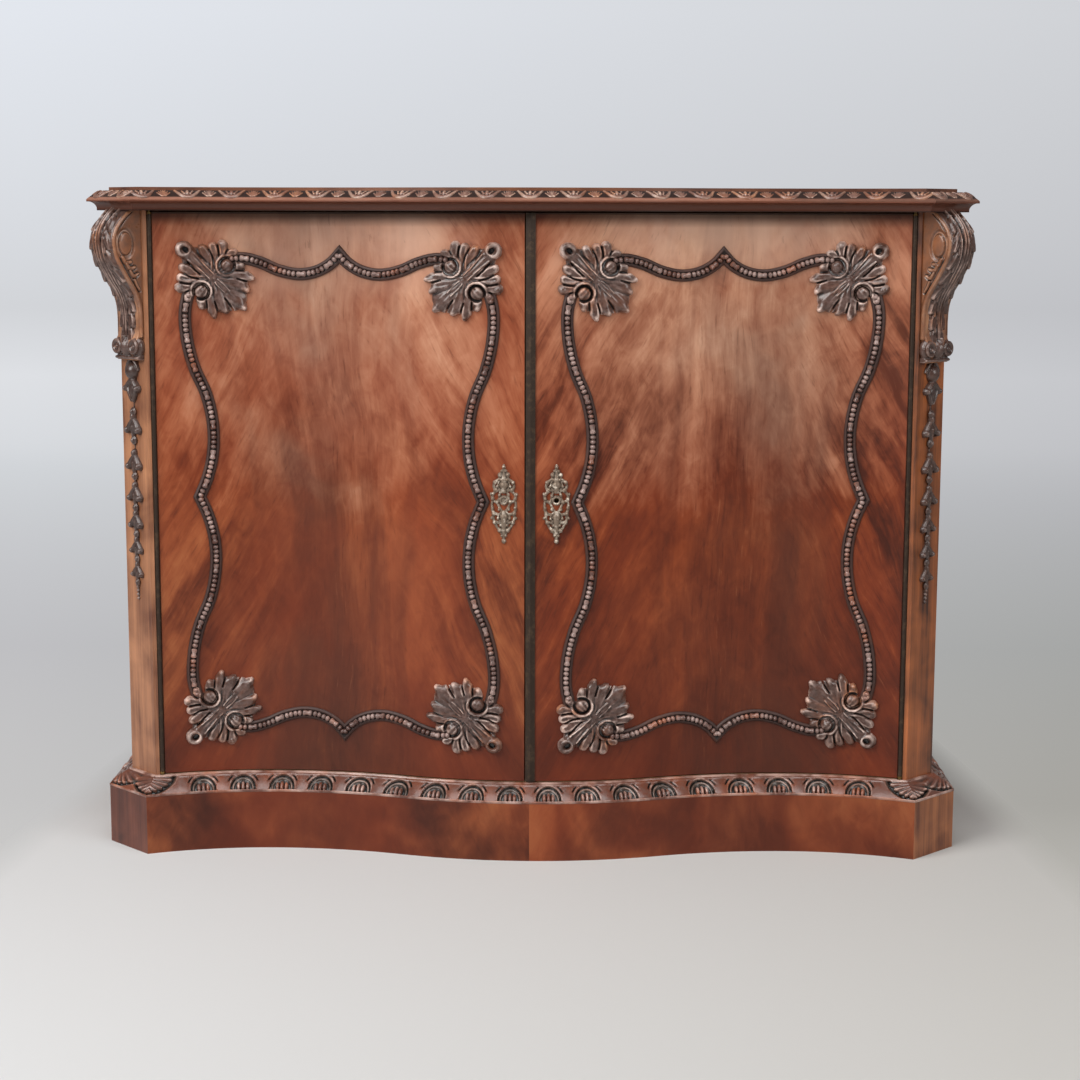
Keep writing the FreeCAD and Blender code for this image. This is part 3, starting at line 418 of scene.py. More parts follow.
@dataclass(frozen=True)
class FlameVeneer(Finish):
    """Polished flame mahogany veneer, centred on one door or plinth board.

    It is deepest at base_height and palest at top_height, painted light that pales it upward. A painted sheen
    starts near the spine about the sheen height, and a painted shadow darkens what lies just under the shadow line.
    """

    spine: float
    seed: float
    slant: float = 0.5
    plume_width: float = 0.085
    plume_shift: float = 0.0
    plume_strength: float = 0.62
    base_height: float = 0.11
    top_height: float = 0.89
    soot_height: float = 2.0
    cloud_height: float = 2.0
    deepness: float = 0.0
    streak: float = 0.74
    cloud: float = 0.66
    tint: Colour = (1.0, 1.0, 1.0)
    red_share: float = 0.34
    pore_share: float = 0.36
    glow_share: float = 0.16
    soot_share: float = 0.72
    edge_share: float = 0.9

    def ramps(self, tree: Tree, tone: Value) -> list[Socket]:
        """The wood's colours for a tone: low on the board, at its middle and at its top; their rise from dark to pale
        is painted light.
        """
        stops, deep = (0.26, 0.40, 0.52, 0.64, 0.80), tone - self.deepness
        return [
            tree.ramp(deep, toned(stops, (56, 23, 12), (82, 36, 19), (99, 46, 25), (118, 58, 31), (136, 72, 40))),
            tree.ramp(deep, toned(stops, (80, 34, 18), (122, 56, 29), (148, 75, 41), (170, 94, 55), (188, 116, 72))),
            tree.ramp(tone, toned(stops, (132, 78, 55), (176, 115, 86), (202, 148, 117), (218, 170, 139),
                                  (230, 192, 166)))]

    def draw(self, tree: Tree) -> None:
        """Draw the figure, then plume, pores, glow and soot over it."""
        place = tree.place()
        spot = tree.add("Mapping", {"Vector": place, "Location": (-self.spine, 0.0, 0.0)}).outputs[0]
        figure = tree.use(Shared.flame, Place=spot, Seed=self.seed, Slant=self.slant, Plume_width=self.plume_width,
                          Plume_shift=self.plume_shift, Streak=self.streak, Cloud=self.cloud)
        tone, red, plume, fibre = (figure[name] for name in ("Tone", "Red", "Plume", "Fibre"))
        z, beside = tree.split(place)[2], abs(tree.split(spot)[0])
        # Painted light: the colour runs from the dark low ramp to the middle one as the board rises, as lamps from
        # above would leave it.
        rise = z.swung(tone, 0.34).spread(self.base_height, self.top_height)
        low, middle, high = self.ramps(tree, tone)
        colour = tree.mix(1.0, tree.mix(rise.spread(0.05, 0.72), low, middle), self.tint, "MULTIPLY")
        # Painted sheen: a pale, noise-broken patch near the spine from the sheen height up stands in for the lamps'
        # reflection.
        bright = z.spread(self.cloud_height - 0.06, self.cloud_height + 0.02) * beside.spread(0.20, 0.10)
        cloud = tree.noise(place, 11.0, 3.0, 0.55, 0.6).spread(0.36, 0.56, 0.35, 1.0)
        # Painted shadow: a soft dark band just under the top's overhang, with a near-black line at its upper edge.
        painted_shadow = z.spread(self.soot_height - 0.020, self.soot_height - 0.006, 0.0, self.soot_share)
        edge = z.spread(self.soot_height - 0.0046, self.soot_height - 0.0026, 0.0, self.edge_share)
        colour = tree.coats(
            colour,
            # The pale top ramp laid on high up and near the spine is a painted sheen.
            (rise.spread(0.52, 0.98) * beside.spread(0.26, 0.12, 0.30, 1.0), high),
            # The painted sheen's pale colour.
            (bright * cloud, paint(222, 178, 152)),
            (red * self.red_share, paint(146, 58, 26)),
            # The plume turns greyer and paler high up, part of the same painted light.
            (plume * self.plume_strength, tree.mix(rise.spread(0.5, 1.0), paint(62, 36, 27), paint(112, 86, 76))),
            (fibre.spread(0.40, 0.30) * (self.pore_share * self.streak), paint(50, 22, 13)),
            (fibre.spread(0.64, 0.80) * (self.glow_share * self.streak), paint(214, 146, 100)),
            (tree.math("MAXIMUM", painted_shadow, edge), paint(24, 13, 9)))
        tree.shade(colour, tree.noise(place, 9.0).spread(0.35, 0.65, 0.34, 0.48),
                   tree.bump(fibre + tone * 0.6, 0.08, 0.0004), Coat_Weight=0.10, Coat_Roughness=0.25,
                   Specular_IOR_Level=0.28)


@dataclass(frozen=True)
class PlainWood(Finish):
    """A board with straight grain and a wax or oil finish, or none."""

    dark: Colour
    light: Colour
    along: Axis = Axis.Z
    seed: float = 0.0
    gloss: float = 0.42
    coat: float = 0.2
    relief: float = 0.15
    dust: float = 0.0
    patch_share: float = 0.35
    pore_share: float = 0.35

    def draw(self, tree: Tree) -> None:
        """Draw the grain, then patches, pores and dust over it."""
        place, grain = tree.place(), tree.grain(self.along, self.seed)
        middle = tuple((low + high) / 2 for low, high in zip(self.dark, self.light))
        patches = tree.noise(place, 7.0, 4.0)
        figure = grain["Figure"].swung(tree.noise(place, 15.0, 3.0, 0.5, 0.6), 0.5)
        colour = tree.coats(tree.ramp(figure, [(0.32, self.dark), (0.5, middle), (0.68, self.light)]),
                            (patches.spread(0.3, 0.75, 0.0, self.patch_share), self.dark),
                            (grain["Pores"] * self.pore_share, dimmed(self.dark, 0.4)))
        if self.dust:
            grime = tree.noise(place, 26.0, 4.0).spread(0.45, 0.7)
            colour = tree.mix(grime * self.dust, colour, paint(122, 108, 96))
        tree.shade(colour, patches.spread(0.3, 0.7, self.gloss - 0.06, self.gloss + 0.08),
                   tree.bump(grain["Height"], self.relief, 0.0005), Coat_Weight=self.coat, Coat_Roughness=0.3)


@dataclass(frozen=True)
class CarvedWood(Finish):
    """Carved mahogany, grey with old wax: painted shade turns its hollows black, and its ridges show wear in orange
    or pale, the pale partly a painted highlight.
    """

    body: Colour
    wax: Colour
    bare: Colour
    # The hollow colour is painted shade for the carving's recesses.
    hollow: Colour = paint(22, 12, 9)
    # The ridge colour is real wear and, pale as it is, also a painted highlight.
    worn: Colour = paint(172, 138, 124)
    rubbed: Colour = paint(190, 122, 84)
    worn_share: float = 0.75
    bare_share: float = 0.5
    grime_share: float = 0.75
    coat: float = 0.45
    gloss: float = 0.26

    def draw(self, tree: Tree) -> None:
        """Draw wood and wax, then bare patches, sunk ground, the ridges' wear with its painted highlights and the
        hollows' painted shade over them.
        """
        place = tree.place()
        wear = tree.use(Shared.carving, Place=place, Mark=tree.mark(Mark.RIDGE))
        blotch, warmth = wear["Blotch"], wear["Warmth"]
        colour = tree.coats(tree.mix(blotch.spread(0.40, 0.75), self.body, self.wax),
                            (warmth * self.bare_share, self.bare),
                            (tree.mark(Mark.SUNK) * self.grime_share, paint(60, 56, 48)),
                            # Ridges: real wear, their pale colour also a painted highlight on the crests.
                            (wear["Worn"] * self.worn_share, tree.mix(warmth, self.worn, self.rubbed)),
                            # Painted shade: the hollows turn near black, as shade falls in the carving.
                            (wear["Hollow"], self.hollow))
        tree.shade(colour, blotch.spread(0.3, 0.7, self.gloss, self.gloss + 0.16),
                   tree.bump(tree.noise(place, 420.0, 2.0), 0.10, 0.0004), Coat_Weight=self.coat, Coat_Roughness=0.16)


@dataclass(frozen=True)
class TopEdgeWood(Finish):
    """The moulding under the top: a dark cove, a nose rubbed bare, a pale roll and a dark ground behind the carving.

    The cove's dark colour is painted shade, the roll's pale colour painted light, and the lowest edge takes a painted
    shadow. Each pair of heights says between which levels one zone gives way to the next.
    """

    along: Axis
    seed: float
    cove: Colour = paint(92, 52, 38)
    nose: Colour = paint(110, 62, 44)
    roll: Colour = paint(146, 100, 82)
    ground: Colour = paint(46, 30, 25)
    shadow_end: Flat = (0.8958, 0.8940)
    cove_end: Flat = (0.9025, 0.9045)
    nose_end: Flat = (0.9062, 0.9080)
    roll_end: Flat = (0.9108, 0.9122)

    def draw(self, tree: Tree) -> None:
        """Draw the zones of the section one above the other."""
        place, grain = tree.place(), tree.grain(self.along, self.seed)
        z, patches = tree.split(place)[2], tree.noise(place, 16.0, 4.0)
        level = z.swung(patches, 0.003)
        nose = tree.coats(dimmed(self.nose, 0.6), (grain["Figure"].spread(0.35, 0.65), self.nose),
                          (patches.spread(0.55, 0.75, 0.0, 0.6), self.ground))
        roll = tree.mix(tree.noise(place, 3.6).spread(0.44, 0.58), dimmed(self.roll, 0.55), self.roll)
        # Painted shade darkens the cove and painted light pales the roll; the last coat is a painted shadow on the
        # lowest edge.
        colour = tree.coats(self.cove,
                            (level.spread(*self.cove_end), tree.mix(level.spread(*self.nose_end), nose, roll)),
                            (level.spread(*self.roll_end), self.ground),
                            (z.spread(*self.shadow_end, 0.0, 0.75), paint(20, 12, 9)))
        tree.shade(colour, patches.spread(0.3, 0.7, 0.28, 0.40), tree.bump(grain["Height"], 0.12, 0.0005),
                   Coat_Weight=0.1, Coat_Roughness=0.2, Specular_IOR_Level=0.3)


@dataclass(frozen=True)
class OldMetal(Finish):
    """Brass, bronze or steel with tarnish; a chased one is dark in its hollows."""

    bright: Colour
    tarnish: Colour
    cover: float = 0.5
    roughness: float = 0.38
    metallic: float = 1.0
    chased: bool = False

    def draw(self, tree: Tree) -> None:
        """Draw metal and tarnish."""
        place, start = tree.place(), 0.66 - 0.3 * self.cover
        blotch, speck = tree.noise(place, 120.0, 4.0, 0.6), tree.noise(place, 700.0, 2.0)
        colour = tree.mix(blotch.spread(start, start + 0.18, 1.0, 0.0), self.bright, self.tarnish)
        if self.chased:
            colour = tree.mix(tree.mark(Mark.RIDGE).spread(0.52, 0.30), colour, dimmed(self.tarnish, 0.12))
        tree.shade(colour, speck.spread(0.3, 0.7, self.roughness - 0.08, self.roughness + 0.14),
                   tree.bump(speck, 0.15, 0.0002), Metallic=self.metallic)


# ------------------------------------------------------------------- helpers


def unit(values: np.ndarray) -> np.ndarray:
    """Hold values between 0 and 1."""
    return np.clip(values, 0, 1)


def dome(off: np.ndarray) -> np.ndarray:
    """A round hump: 1 at a distance of 0, falling to 0 at a distance of 1."""
    return np.sqrt(unit(1 - off ** 2))


def mirrored(row: Stroke, sign: int) -> list[Spot]:
    """A stroke, turned over to the drawing's lower half where the sign is -1."""
    return [(x, sign * y, reach) for x, y, reach in row]


def travelled(line: np.ndarray) -> np.ndarray:
    """The distance along a line of X and Y up to each of its points."""
    return np.concatenate([[0.0], np.cumsum(np.hypot(*np.diff(line, axis=0).T))])


def flow(knots: Sequence[Sequence[float]], steps: int = 12) -> np.ndarray:
    """Sample a smooth line through some points.

    Args:
        knots: The points, X and Y.
        steps: How many samples lie between two points.

    Returns:
        Rows of X, Y and distance along the line.
    """
    rough = np.array(knots, dtype=float)[:, :2]
    step = travelled(rough)
    slope = np.gradient(rough, step, axis=0)
    spots = []
    for index in range(len(rough) - 1):
        span = step[index + 1] - step[index]
        for share in np.linspace(0, 1, steps, endpoint=index == len(rough) - 2):
            square, cube = share ** 2, share ** 3
            spots.append((2 * cube - 3 * square + 1) * rough[index]
                         + (cube - 2 * square + share) * span * slope[index]
                         + (3 * square - 2 * cube) * rough[index + 1] + (cube - square) * span * slope[index + 1])
    line = np.array(spots)
    return np.column_stack([line, travelled(line)])


def along(line: np.ndarray, far: np.ndarray) -> tuple[np.ndarray, np.ndarray]:
    """Find places on a sampled line and its turn there.

    Args:
        line: Rows of X, Y and distance.
        far: The distances to look up.

    Returns:
        The X and Y there, and the angle of the line there.
    """
    slope = np.gradient(line[:, :2], line[:, 2], axis=0)
    spot, lean = (np.column_stack([np.interp(far, line[:, 2], rows[:, part]) for part in (0, 1)])
                  for rows in (line, slope))
    return spot, np.arctan2(lean[:, 1], lean[:, 0])


def select_only(*things: Thing) -> None:
    """Select these objects alone and make the first one active."""
    bpy.ops.object.select_all(action="DESELECT")
    for thing in things:
        thing.select_set(True)
    bpy.context.view_layer.objects.active = things[0]


def apply_modifier(thing: Thing, kind: str, **settings: object) -> None:
    """Add one modifier, set it and apply it.

    Args:
        thing: The piece.
        kind: The modifier's type.
        settings: Its properties.
    """
    select_only(thing)
    modifier = thing.modifiers.new(kind.lower(), kind)
    for name, value in settings.items():
        setattr(modifier, name, value)
    bpy.ops.object.modifier_apply(modifier=modifier.name)


def edit(thing: Thing, *steps: Callable[[], object]) -> None:
    """Take some steps in edit mode, each with the whole mesh selected."""
    select_only(thing)
    bpy.ops.object.mode_set(mode="EDIT")
    for step in steps:
        bpy.ops.mesh.select_all(action="SELECT")
        step()
    bpy.ops.object.mode_set(mode="OBJECT")


def cut(thing: Thing, place: Spot, direction: Spot) -> None:
    """Cut off what lies beyond a plane and close the cut.

    Args:
        thing: The piece.
        place: A point on the plane.
        direction: The side of the plane that is thrown away.
    """
    edit(thing, lambda: bpy.ops.mesh.bisect(plane_co=place, plane_no=direction, use_fill=True, clear_outer=True))


def turn_outward(thing: Thing) -> None:
    """Merge doubled points and make every face point outward."""
    edit(thing, lambda: bpy.ops.mesh.remove_doubles(threshold=0.00002),
         lambda: bpy.ops.mesh.normals_make_consistent(inside=False))


def join(things: Sequence[Thing], name: str) -> Thing:
    """Join several objects into one mesh under one name."""
    select_only(*things)
    if len(things) > 1:
        bpy.ops.object.join()
    whole = bpy.context.view_layer.objects.active
    whole.name = whole.data.name = name
    return whole


def points(thing: Thing) -> np.ndarray:
    """The places of a mesh's vertices, one row each."""
    rows = np.zeros(len(thing.data.vertices) * 3)
    thing.data.vertices.foreach_get("co", rows)
    return rows.reshape(-1, 3)


def move_points(thing: Thing, rows: np.ndarray) -> None:
    """Put a mesh's vertices at new places."""
    thing.data.vertices.foreach_set("co", np.ascontiguousarray(rows, dtype=np.float64).ravel())
    thing.data.update()


def store(thing: Thing, mark: Mark, values: np.ndarray) -> None:
    """Store a mark on a mesh's points, each from 0 to 1."""
    attribute = thing.data.attributes.new(mark.value, "FLOAT", "POINT")
    attribute.data.foreach_set("value", unit(values).astype(np.float32))


def mark_ridges(thing: Thing, rounds: int = 9, reach: float = 0.0011) -> None:
    """Store how ridge-like each point of a mesh is: 1 on a crest, 0 in a hollow, a half where it is flat.

    Args:
        thing: The piece.
        rounds: How many times the skin is evened out to compare it with the real one.
        reach: How far a point must stand off the evened skin to count fully, in metres.
    """
    mesh, places = thing.data, points(thing)
    size = len(places)
    normals = np.zeros(size * 3)
    mesh.vertices.foreach_get("normal", normals)
    ends = np.zeros(len(mesh.edges) * 2, dtype=np.int64)
    mesh.edges.foreach_get("vertices", ends)
    first, second = ends.reshape(-1, 2).T
    count = np.maximum(np.bincount(first, minlength=size) + np.bincount(second, minlength=size), 1)[:, None]

    def evened(rows: np.ndarray) -> np.ndarray:
        """Each row as the mean of its neighbours' rows."""
        total = [np.bincount(first, rows[second, part], size) + np.bincount(second, rows[first, part], size)
                 for part in range(rows.shape[1])]
        return np.column_stack(total) / count

    even = places
    for _ in range(rounds):
        even = 0.35 * even + 0.65 * evened(even)
    stand = ((places - even) * normals.reshape(-1, 3)).sum(axis=1, keepdims=True)
    stand = 0.5 * stand + 0.5 * evened(stand)
    store(thing, Mark.RIDGE, 0.5 + 0.5 * stand[:, 0] / reach)


def copies(model: Thing, shapes: Sequence[Matrix], name: str) -> Thing:
    """Copy a model once for each place, each copy with its own mesh, and join the copies.

    Args:
        model: What is copied.
        shapes: The move and turn of each copy.
        name: The joined object's name.

    Returns:
        The copies as one object.
    """
    made = []
    for shape in shapes:
        twin = model.copy()
        twin.data = model.data.copy()
        twin.data.transform(shape)
        if shape.determinant() < 0:
            twin.data.flip_normals()
        bpy.context.scene.collection.objects.link(twin)
        made.append(twin)
    return join(made, name)


def settle(thing: Thing, mapping: Mapping, scale: float = MILLIMETRE) -> Thing:
    """Lay a flat drawing on its own face and bring it to metres.

    Args:
        thing: The drawing.
        mapping: Takes flat places to places on the face.
        scale: What one of the drawing's units is in those that the mapping takes.

    Returns:
        The same object.
    """
    move_points(thing, mapping(points(thing) * scale))
    turn_outward(thing)
    return thing


def hand_over(thing: Thing, body: str, material: Material, nodes: Sequence[str] = (),
              sharp: float | None = None) -> None:
    """Mark a finished piece's ridges, shade and dress it, join it to its body and report it.

    Args:
        thing: The piece.
        body: The frame's body that it moves with.
        material: Its finish.
        nodes: The frame's pieces that it stands for.
        sharp: The angle in degrees from which an edge stays sharp, or None to smooth all.
    """
    mark_ridges(thing)
    select_only(thing)
    if sharp is None:
        bpy.ops.object.shade_smooth()
    else:
        bpy.ops.object.shade_smooth_by_angle(angle=math.radians(sharp))
    thing.data.materials.clear()
    thing.data.materials.append(material)
    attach(thing, body)
    if nodes:
        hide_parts(*nodes)
    log.info("%s: %d faces on %s", thing.name, len(thing.data.polygons), body)


def draw_lines(lines: Iterable[Sequence[Sequence[float]]], kind: str = "POLY", closed: bool = False) -> Thing:
    """Draw flat lines as one curve object.

    Args:
        lines: For each line its points: X, Y and, where it tapers, the size of the section there.
        kind: The spline's type; NURBS flows smoothly.
        closed: Whether each line runs back to its start.

    Returns:
        The curve object.
    """
    bpy.ops.curve.primitive_bezier_curve_add()
    drawn = bpy.context.object
    drawn.data.splines.clear()
    drawn.data.resolution_u = 5
    for line in lines:
        spline = drawn.data.splines.new(kind)
        spline.points.add(len(line) - 1)
        for spot, (x, y, *reach) in zip(spline.points, line):
            spot.co = (x, y, 0.0, 1.0)
            spot.radius = reach[0] if reach else 1.0
        spline.use_cyclic_u = closed
        if kind == "NURBS":
            spline.order_u, spline.use_endpoint_u = min(3, len(line)), True
    return drawn


def as_mesh(drawn: Thing, **settings: object) -> Thing:
    """Set a flat curve's properties in turn and make a mesh of it."""
    drawn.data.dimensions = "2D"
    for name, value in settings.items():
        setattr(drawn.data, name, value)
    select_only(drawn)
    bpy.ops.object.convert(target="MESH")
    return bpy.context.object


def sweep(lines: Iterable[Sequence[Sequence[float]]], outline: Sequence[Flat], kind: str = "POLY") -> Thing:
    """Run a section along some flat lines.

    Args:
        lines: The lines' points, as draw_lines takes them.
        outline: The section, as places to the right of the line and above the drawing.
        kind: The lines' spline type.

    Returns:
        The swept piece.
    """
    section = draw_lines([outline], closed=True)
    swept = as_mesh(draw_lines(lines, kind), fill_mode="NONE", bevel_mode="OBJECT", bevel_object=section,
                    use_fill_caps=True)
    bpy.data.objects.remove(section)
    return swept


# ------------------------------------------------------------------ carving


class Relief:
    """A flat drawing of strokes and bosses, in millimetres, that becomes one carved mesh.

    The drawing lies on Blender's XY plane and rises along Z.
    """

    def __init__(self, name: str) -> None:
        """Start an empty drawing."""
        self.name = name
        self.parts: list[Thing] = []

    def strokes(self, rows: Iterable[Stroke], crown: float = 1.5) -> None:
        """Draw tapered strokes with a half-round section.

        Args:
            rows: For each stroke its points, as X, Y and half width.
            crown: How high a stroke rises for each millimetre of half width.
        """
        turns = [math.pi * step / 8 for step in range(9)]
        arc = [(math.cos(turn), crown * math.sin(turn) ** 0.85) for turn in turns]
        self.parts.append(sweep(rows, [(-1.0, -0.25), (1.0, -0.25), *arc], "NURBS"))

    def boss(self, x: float, y: float, across: float, along: float, height: float, base: float = 0.0,
             segments: int = 20) -> None:
        """Add a rounded boss.

        Args:
            x: Its centre across the drawing.
            y: Its centre up the drawing.
            across: Its half width.
            along: Its half length.
            height: How far it rises.
            base: The level of its centre.
            segments: How many sides it has.
        """
        bpy.ops.mesh.primitive_uv_sphere_add(segments=segments, ring_count=segments // 2 + 2, radius=1.0)
        ball = bpy.context.object
        ball.data.transform(Matrix.Translation((x, y, base)) @ Matrix.Diagonal((across, along, height, 1.0)))
        self.parts.append(ball)

    def ring(self, x: float, y: float, reach: float, thick: float, base: float = 0.0) -> None:
        """Add a ring that lies on the drawing.

        Args:
            x: Its centre across the drawing.
            y: Its centre up the drawing.
            reach: The radius of its centre line.
            thick: The radius of its section.
            base: The level of its centre line.
        """
        bpy.ops.mesh.primitive_torus_add(major_radius=reach, minor_radius=thick, major_segments=28, minor_segments=8)
        hoop = bpy.context.object
        hoop.data.transform(Matrix.Translation((x, y, base)))
        self.parts.append(hoop)

    def carve(self, grain: float, foot: float = 0.0) -> Thing:
        """Melt all parts into one skin, as one carved piece of wood.

        Args:
            grain: The size of the skin's faces in millimetres.
            foot: The level below which the piece is cut off flat.

        Returns:
            The carved piece, still in millimetres.
        """
        whole = join(self.parts, self.name)
        apply_modifier(whole, "REMESH", mode="VOXEL", voxel_size=grain, use_smooth_shade=True)
        apply_modifier(whole, "SMOOTH", factor=0.5, iterations=1)
        cut(whole, (0.0, 0.0, foot), (0.0, 0.0, -1.0))
        return whole


class CarvedFace:
    """A flat face in millimetres whose height is worked out point by point from lobes, grooves and bosses.

    It lies as a Relief does, and it is cut into as well as built up.
    """

    FAR_OFF = 9.0
    GUTTER_SHARE = 0.38
    WALL_SHARE = 0.06
    WALL_HEIGHT = 6.0

    def __init__(self, name: str, low: Flat, high: Flat, grain: float, level: float = -1.5) -> None:
        """Lay out the face.

        Args:
            name: The object's name.
            low: Its lowest X and Y.
            high: Its highest X and Y.
            grain: The size of its small faces.
            level: The height that it starts at.
        """
        spans = [top - bottom for bottom, top in zip(low, high)]
        across, up = (round(span / grain) for span in spans)
        bpy.ops.mesh.primitive_grid_add(x_subdivisions=across, y_subdivisions=up, size=1.0)
        self.sheet = bpy.context.object
        self.sheet.name = self.sheet.data.name = name
        rows = points(self.sheet)
        self.x, self.y = (low[part] + (rows[:, part] + 0.5) * spans[part] for part in (0, 1))
        self.height = np.full(len(rows), level)

    def away(self, row: Stroke) -> np.ndarray:
        """How far each point is from a tapered stroke: 0 on its line, 1 at its edge, more beyond."""
        line = flow(row, 6 if len(row) > 2 else 2)
        knots = travelled(np.array(row)[:, :2])
        reach = np.interp(line[:, 2] * knots[-1] / line[-1, 2], knots, [spot[2] for spot in row])
        nearest = np.full(len(self.x), self.FAR_OFF)
        for (x, y), (next_x, next_y), half, next_half in zip(line[:, :2], line[1:, :2], reach, reach[1:]):
            run_x, run_y = next_x - x, next_y - y
            share = unit(((self.x - x) * run_x + (self.y - y) * run_y) / (run_x ** 2 + run_y ** 2))
            gap = np.hypot(self.x - x - share * run_x, self.y - y - share * run_y)
            nearest = np.minimum(nearest, gap / (half + share * (next_half - half)))
        return nearest

    def oval(self, x: float, y: float, across: float, along: float) -> np.ndarray:
        """How far each point is from an oval's middle, 1 at its edge."""
        return np.hypot((self.x - x) / across, (self.y - y) / along)

    def raise_to(self, height: np.ndarray, where: np.ndarray) -> None:
        """Build the face up to a height wherever it lies lower."""
        self.height = np.where(where, np.maximum(self.height, height), self.height)

    def lobe(self, row: Stroke, crown: float, gutter: float = 0.0, tip: float = 0.0) -> None:
        """Raise one lobe.

        Args:
            row: Its line, as X, Y and half width.
            crown: How high it rises.
            gutter: How deep the gutter along its middle is.
            tip: How much higher it rises at its end.
        """
        off = self.away(row)
        end = unit(1 - np.hypot(self.x - row[-1][0], self.y - row[-1][1]) / math.dist(row[0][:2], row[-1][:2]))
        self.raise_to((crown + tip * end) * dome(off) - gutter * np.exp(-(off / self.GUTTER_SHARE) ** 2), off < 1)

    def groove(self, row: Stroke, depth: float) -> None:
        """Cut a groove along a stroke."""
        self.height -= depth * unit(1 - self.away(row) ** 2) ** 1.5

    def boss(self, x: float, y: float, across: float, along: float, rise: float, base: float = 0.0) -> None:
        """Raise a rounded boss over a base."""
        off = self.oval(x, y, across, along)
        self.raise_to(base + rise * dome(off), off < 1)

    def sink(self, x: float, y: float, across: float, along: float, level: float) -> None:
        """Cut an oval down to a level."""
        off = self.oval(x, y, across, along)
        floor = level + self.WALL_HEIGHT * unit(off - 1 + self.WALL_SHARE) / self.WALL_SHARE
        self.height = np.where(off < 1, np.minimum(self.height, floor), self.height)

    def ring(self, x: float, y: float, reach: float, half: float, rise: float, start: float = -4.0,
             stop: float = 4.0) -> None:
        """Raise a round ridge, all round or between two turns in radians.

        Args:
            x: Its centre's X.
            y: Its centre's Y.
            reach: The radius of its ridge.
            half: Half its width.
            rise: How high it stands.
            start: The turn at which it starts.
            stop: The turn at which it ends.
        """
        off = (np.hypot(self.x - x, self.y - y) - reach) / half
        turn = np.arctan2(self.y - y, self.x - x)
        fade = unit(np.minimum(turn - start, stop - turn) / 0.5)
        self.raise_to(rise * fade ** 0.5 * dome(off), (np.abs(off) < 1) & (fade > 0.02))

    def carve(self, foot: float = -0.1) -> Thing:
        """Give the face its heights and cut it off flat at its foot."""
        move_points(self.sheet, np.column_stack([self.x, self.y, self.height]))
        apply_modifier(self.sheet, "SMOOTH", factor=0.35, iterations=1)
        cut(self.sheet, (0.0, 0.0, foot), (0.0, 0.0, -1.0))
        return self.sheet


# ----------------------------------------------------------- plan of the front


@dataclass(frozen=True)
class Serpentine:
    """The plan of the cabinet's front and canted corners; an inset is a distance in from the plinth's face."""

    wave_station: float = 0.360
    wave_depth: float = 0.056
    outer_radius: float = 0.450
    setback: float = 0.035
    shift: float = -0.200
    half_width: float = 0.601
    cant_leg: float = 0.064
    door_inset: float = 0.030

    @property
    def wave_radius(self) -> float:
        """Radius of the crest and of the inner hollows."""
        return (self.wave_station ** 2 + self.wave_depth ** 2) / (4 * self.wave_depth)

    @property
    def outer_centre(self) -> float:
        """The Y of the outer hollows' centres."""
        return self.setback - self.outer_radius

    def front(self, x: np.ndarray, inset: float) -> tuple[np.ndarray, np.ndarray, np.ndarray]:
        """Find the face at some stations.

        Args:
            x: Stations across the front.
            inset: How far in the face lies.

        Returns:
            The Y of the face there, and the X and Y of its outward normal.
        """
        station, side = np.abs(x), np.sign(x)
        radius = self.wave_radius
        turn = self.wave_station * (radius - inset) / (2 * radius)
        crest_centre, hollow_centre = self.setback - self.wave_depth + radius, self.setback - radius
        off = station - self.wave_station
        crest = crest_centre - np.sqrt(np.maximum((radius - inset) ** 2 - station ** 2, 0))
        hollow = hollow_centre + np.sqrt(np.maximum((radius + inset) ** 2 - off ** 2, 0))
        outer = self.outer_centre + np.sqrt(np.maximum((self.outer_radius + inset) ** 2 - off ** 2, 0))

        def pick(on_crest: np.ndarray, on_hollow: np.ndarray, on_outer: np.ndarray) -> np.ndarray:
            """The value of the arc on which each station lies."""
            return np.where(station < turn, on_crest, np.where(off < 0, on_hollow, on_outer))

        slope_x = pick(station, -off, -off)
        slope_y = pick(crest - crest_centre, hollow_centre - hollow, self.outer_centre - outer)
        length = np.hypot(slope_x, slope_y)
        return pick(crest, hollow, outer) + self.shift, side * slope_x / length, slope_y / length

    def cant_line(self, inset: float) -> float:
        """X less Y on the canted face."""
        return self.half_width - self.cant_leg - inset * math.sqrt(2)

    def front_corner(self, inset: float) -> Flat:
        """Where the front meets the canted face on the right."""
        line = self.cant_line(inset) + self.outer_centre
        half = (line - self.wave_station) / 2
        x = (line + self.wave_station) / 2 + math.sqrt((self.outer_radius + inset) ** 2 / 2 - half ** 2)
        return x, x - self.cant_line(inset) + self.shift

    def side_corner(self, inset: float) -> Flat:
        """Where the canted face meets the side on the right."""
        x = self.half_width - inset
        return x, x - self.cant_line(inset) + self.shift

    def on_door(self, side: Side) -> Mapping:
        """Make the mapping that lays a drawing of the right door's face on one door.

        Args:
            side: Which door.

        Returns:
            A mapping from X, height and rise to places.
        """
        def lay(flat: np.ndarray) -> np.ndarray:
            """Lay the drawing on the serpentine face."""
            x, height, rise = flat.T
            y, normal_x, normal_y = self.front(x, self.door_inset)
            return np.column_stack([side.value * (x + normal_x * rise), y + normal_y * rise, height])

        return lay

    def on_cant(self, side: Side) -> Mapping:
        """Make the mapping that lays a drawing on a post's canted face.

        Args:
            side: Which post.

        Returns:
            A mapping from the distance across from the face's middle, height and rise to places.
        """
        ends = [corner(self.door_inset) for corner in (self.front_corner, self.side_corner)]
        middle_x, middle_y = (sum(part) / 2 for part in zip(*ends))

        def lay(flat: np.ndarray) -> np.ndarray:
            """Lay the drawing on the canted face."""
            across, height, rise = flat.T
            return np.column_stack([side.value * (middle_x + DIAGONAL * (across + rise)),
                                    middle_y + DIAGONAL * (across - rise), height])

        return lay


PLAN = Serpentine()


# ------------------------------------------------------------ door ornament


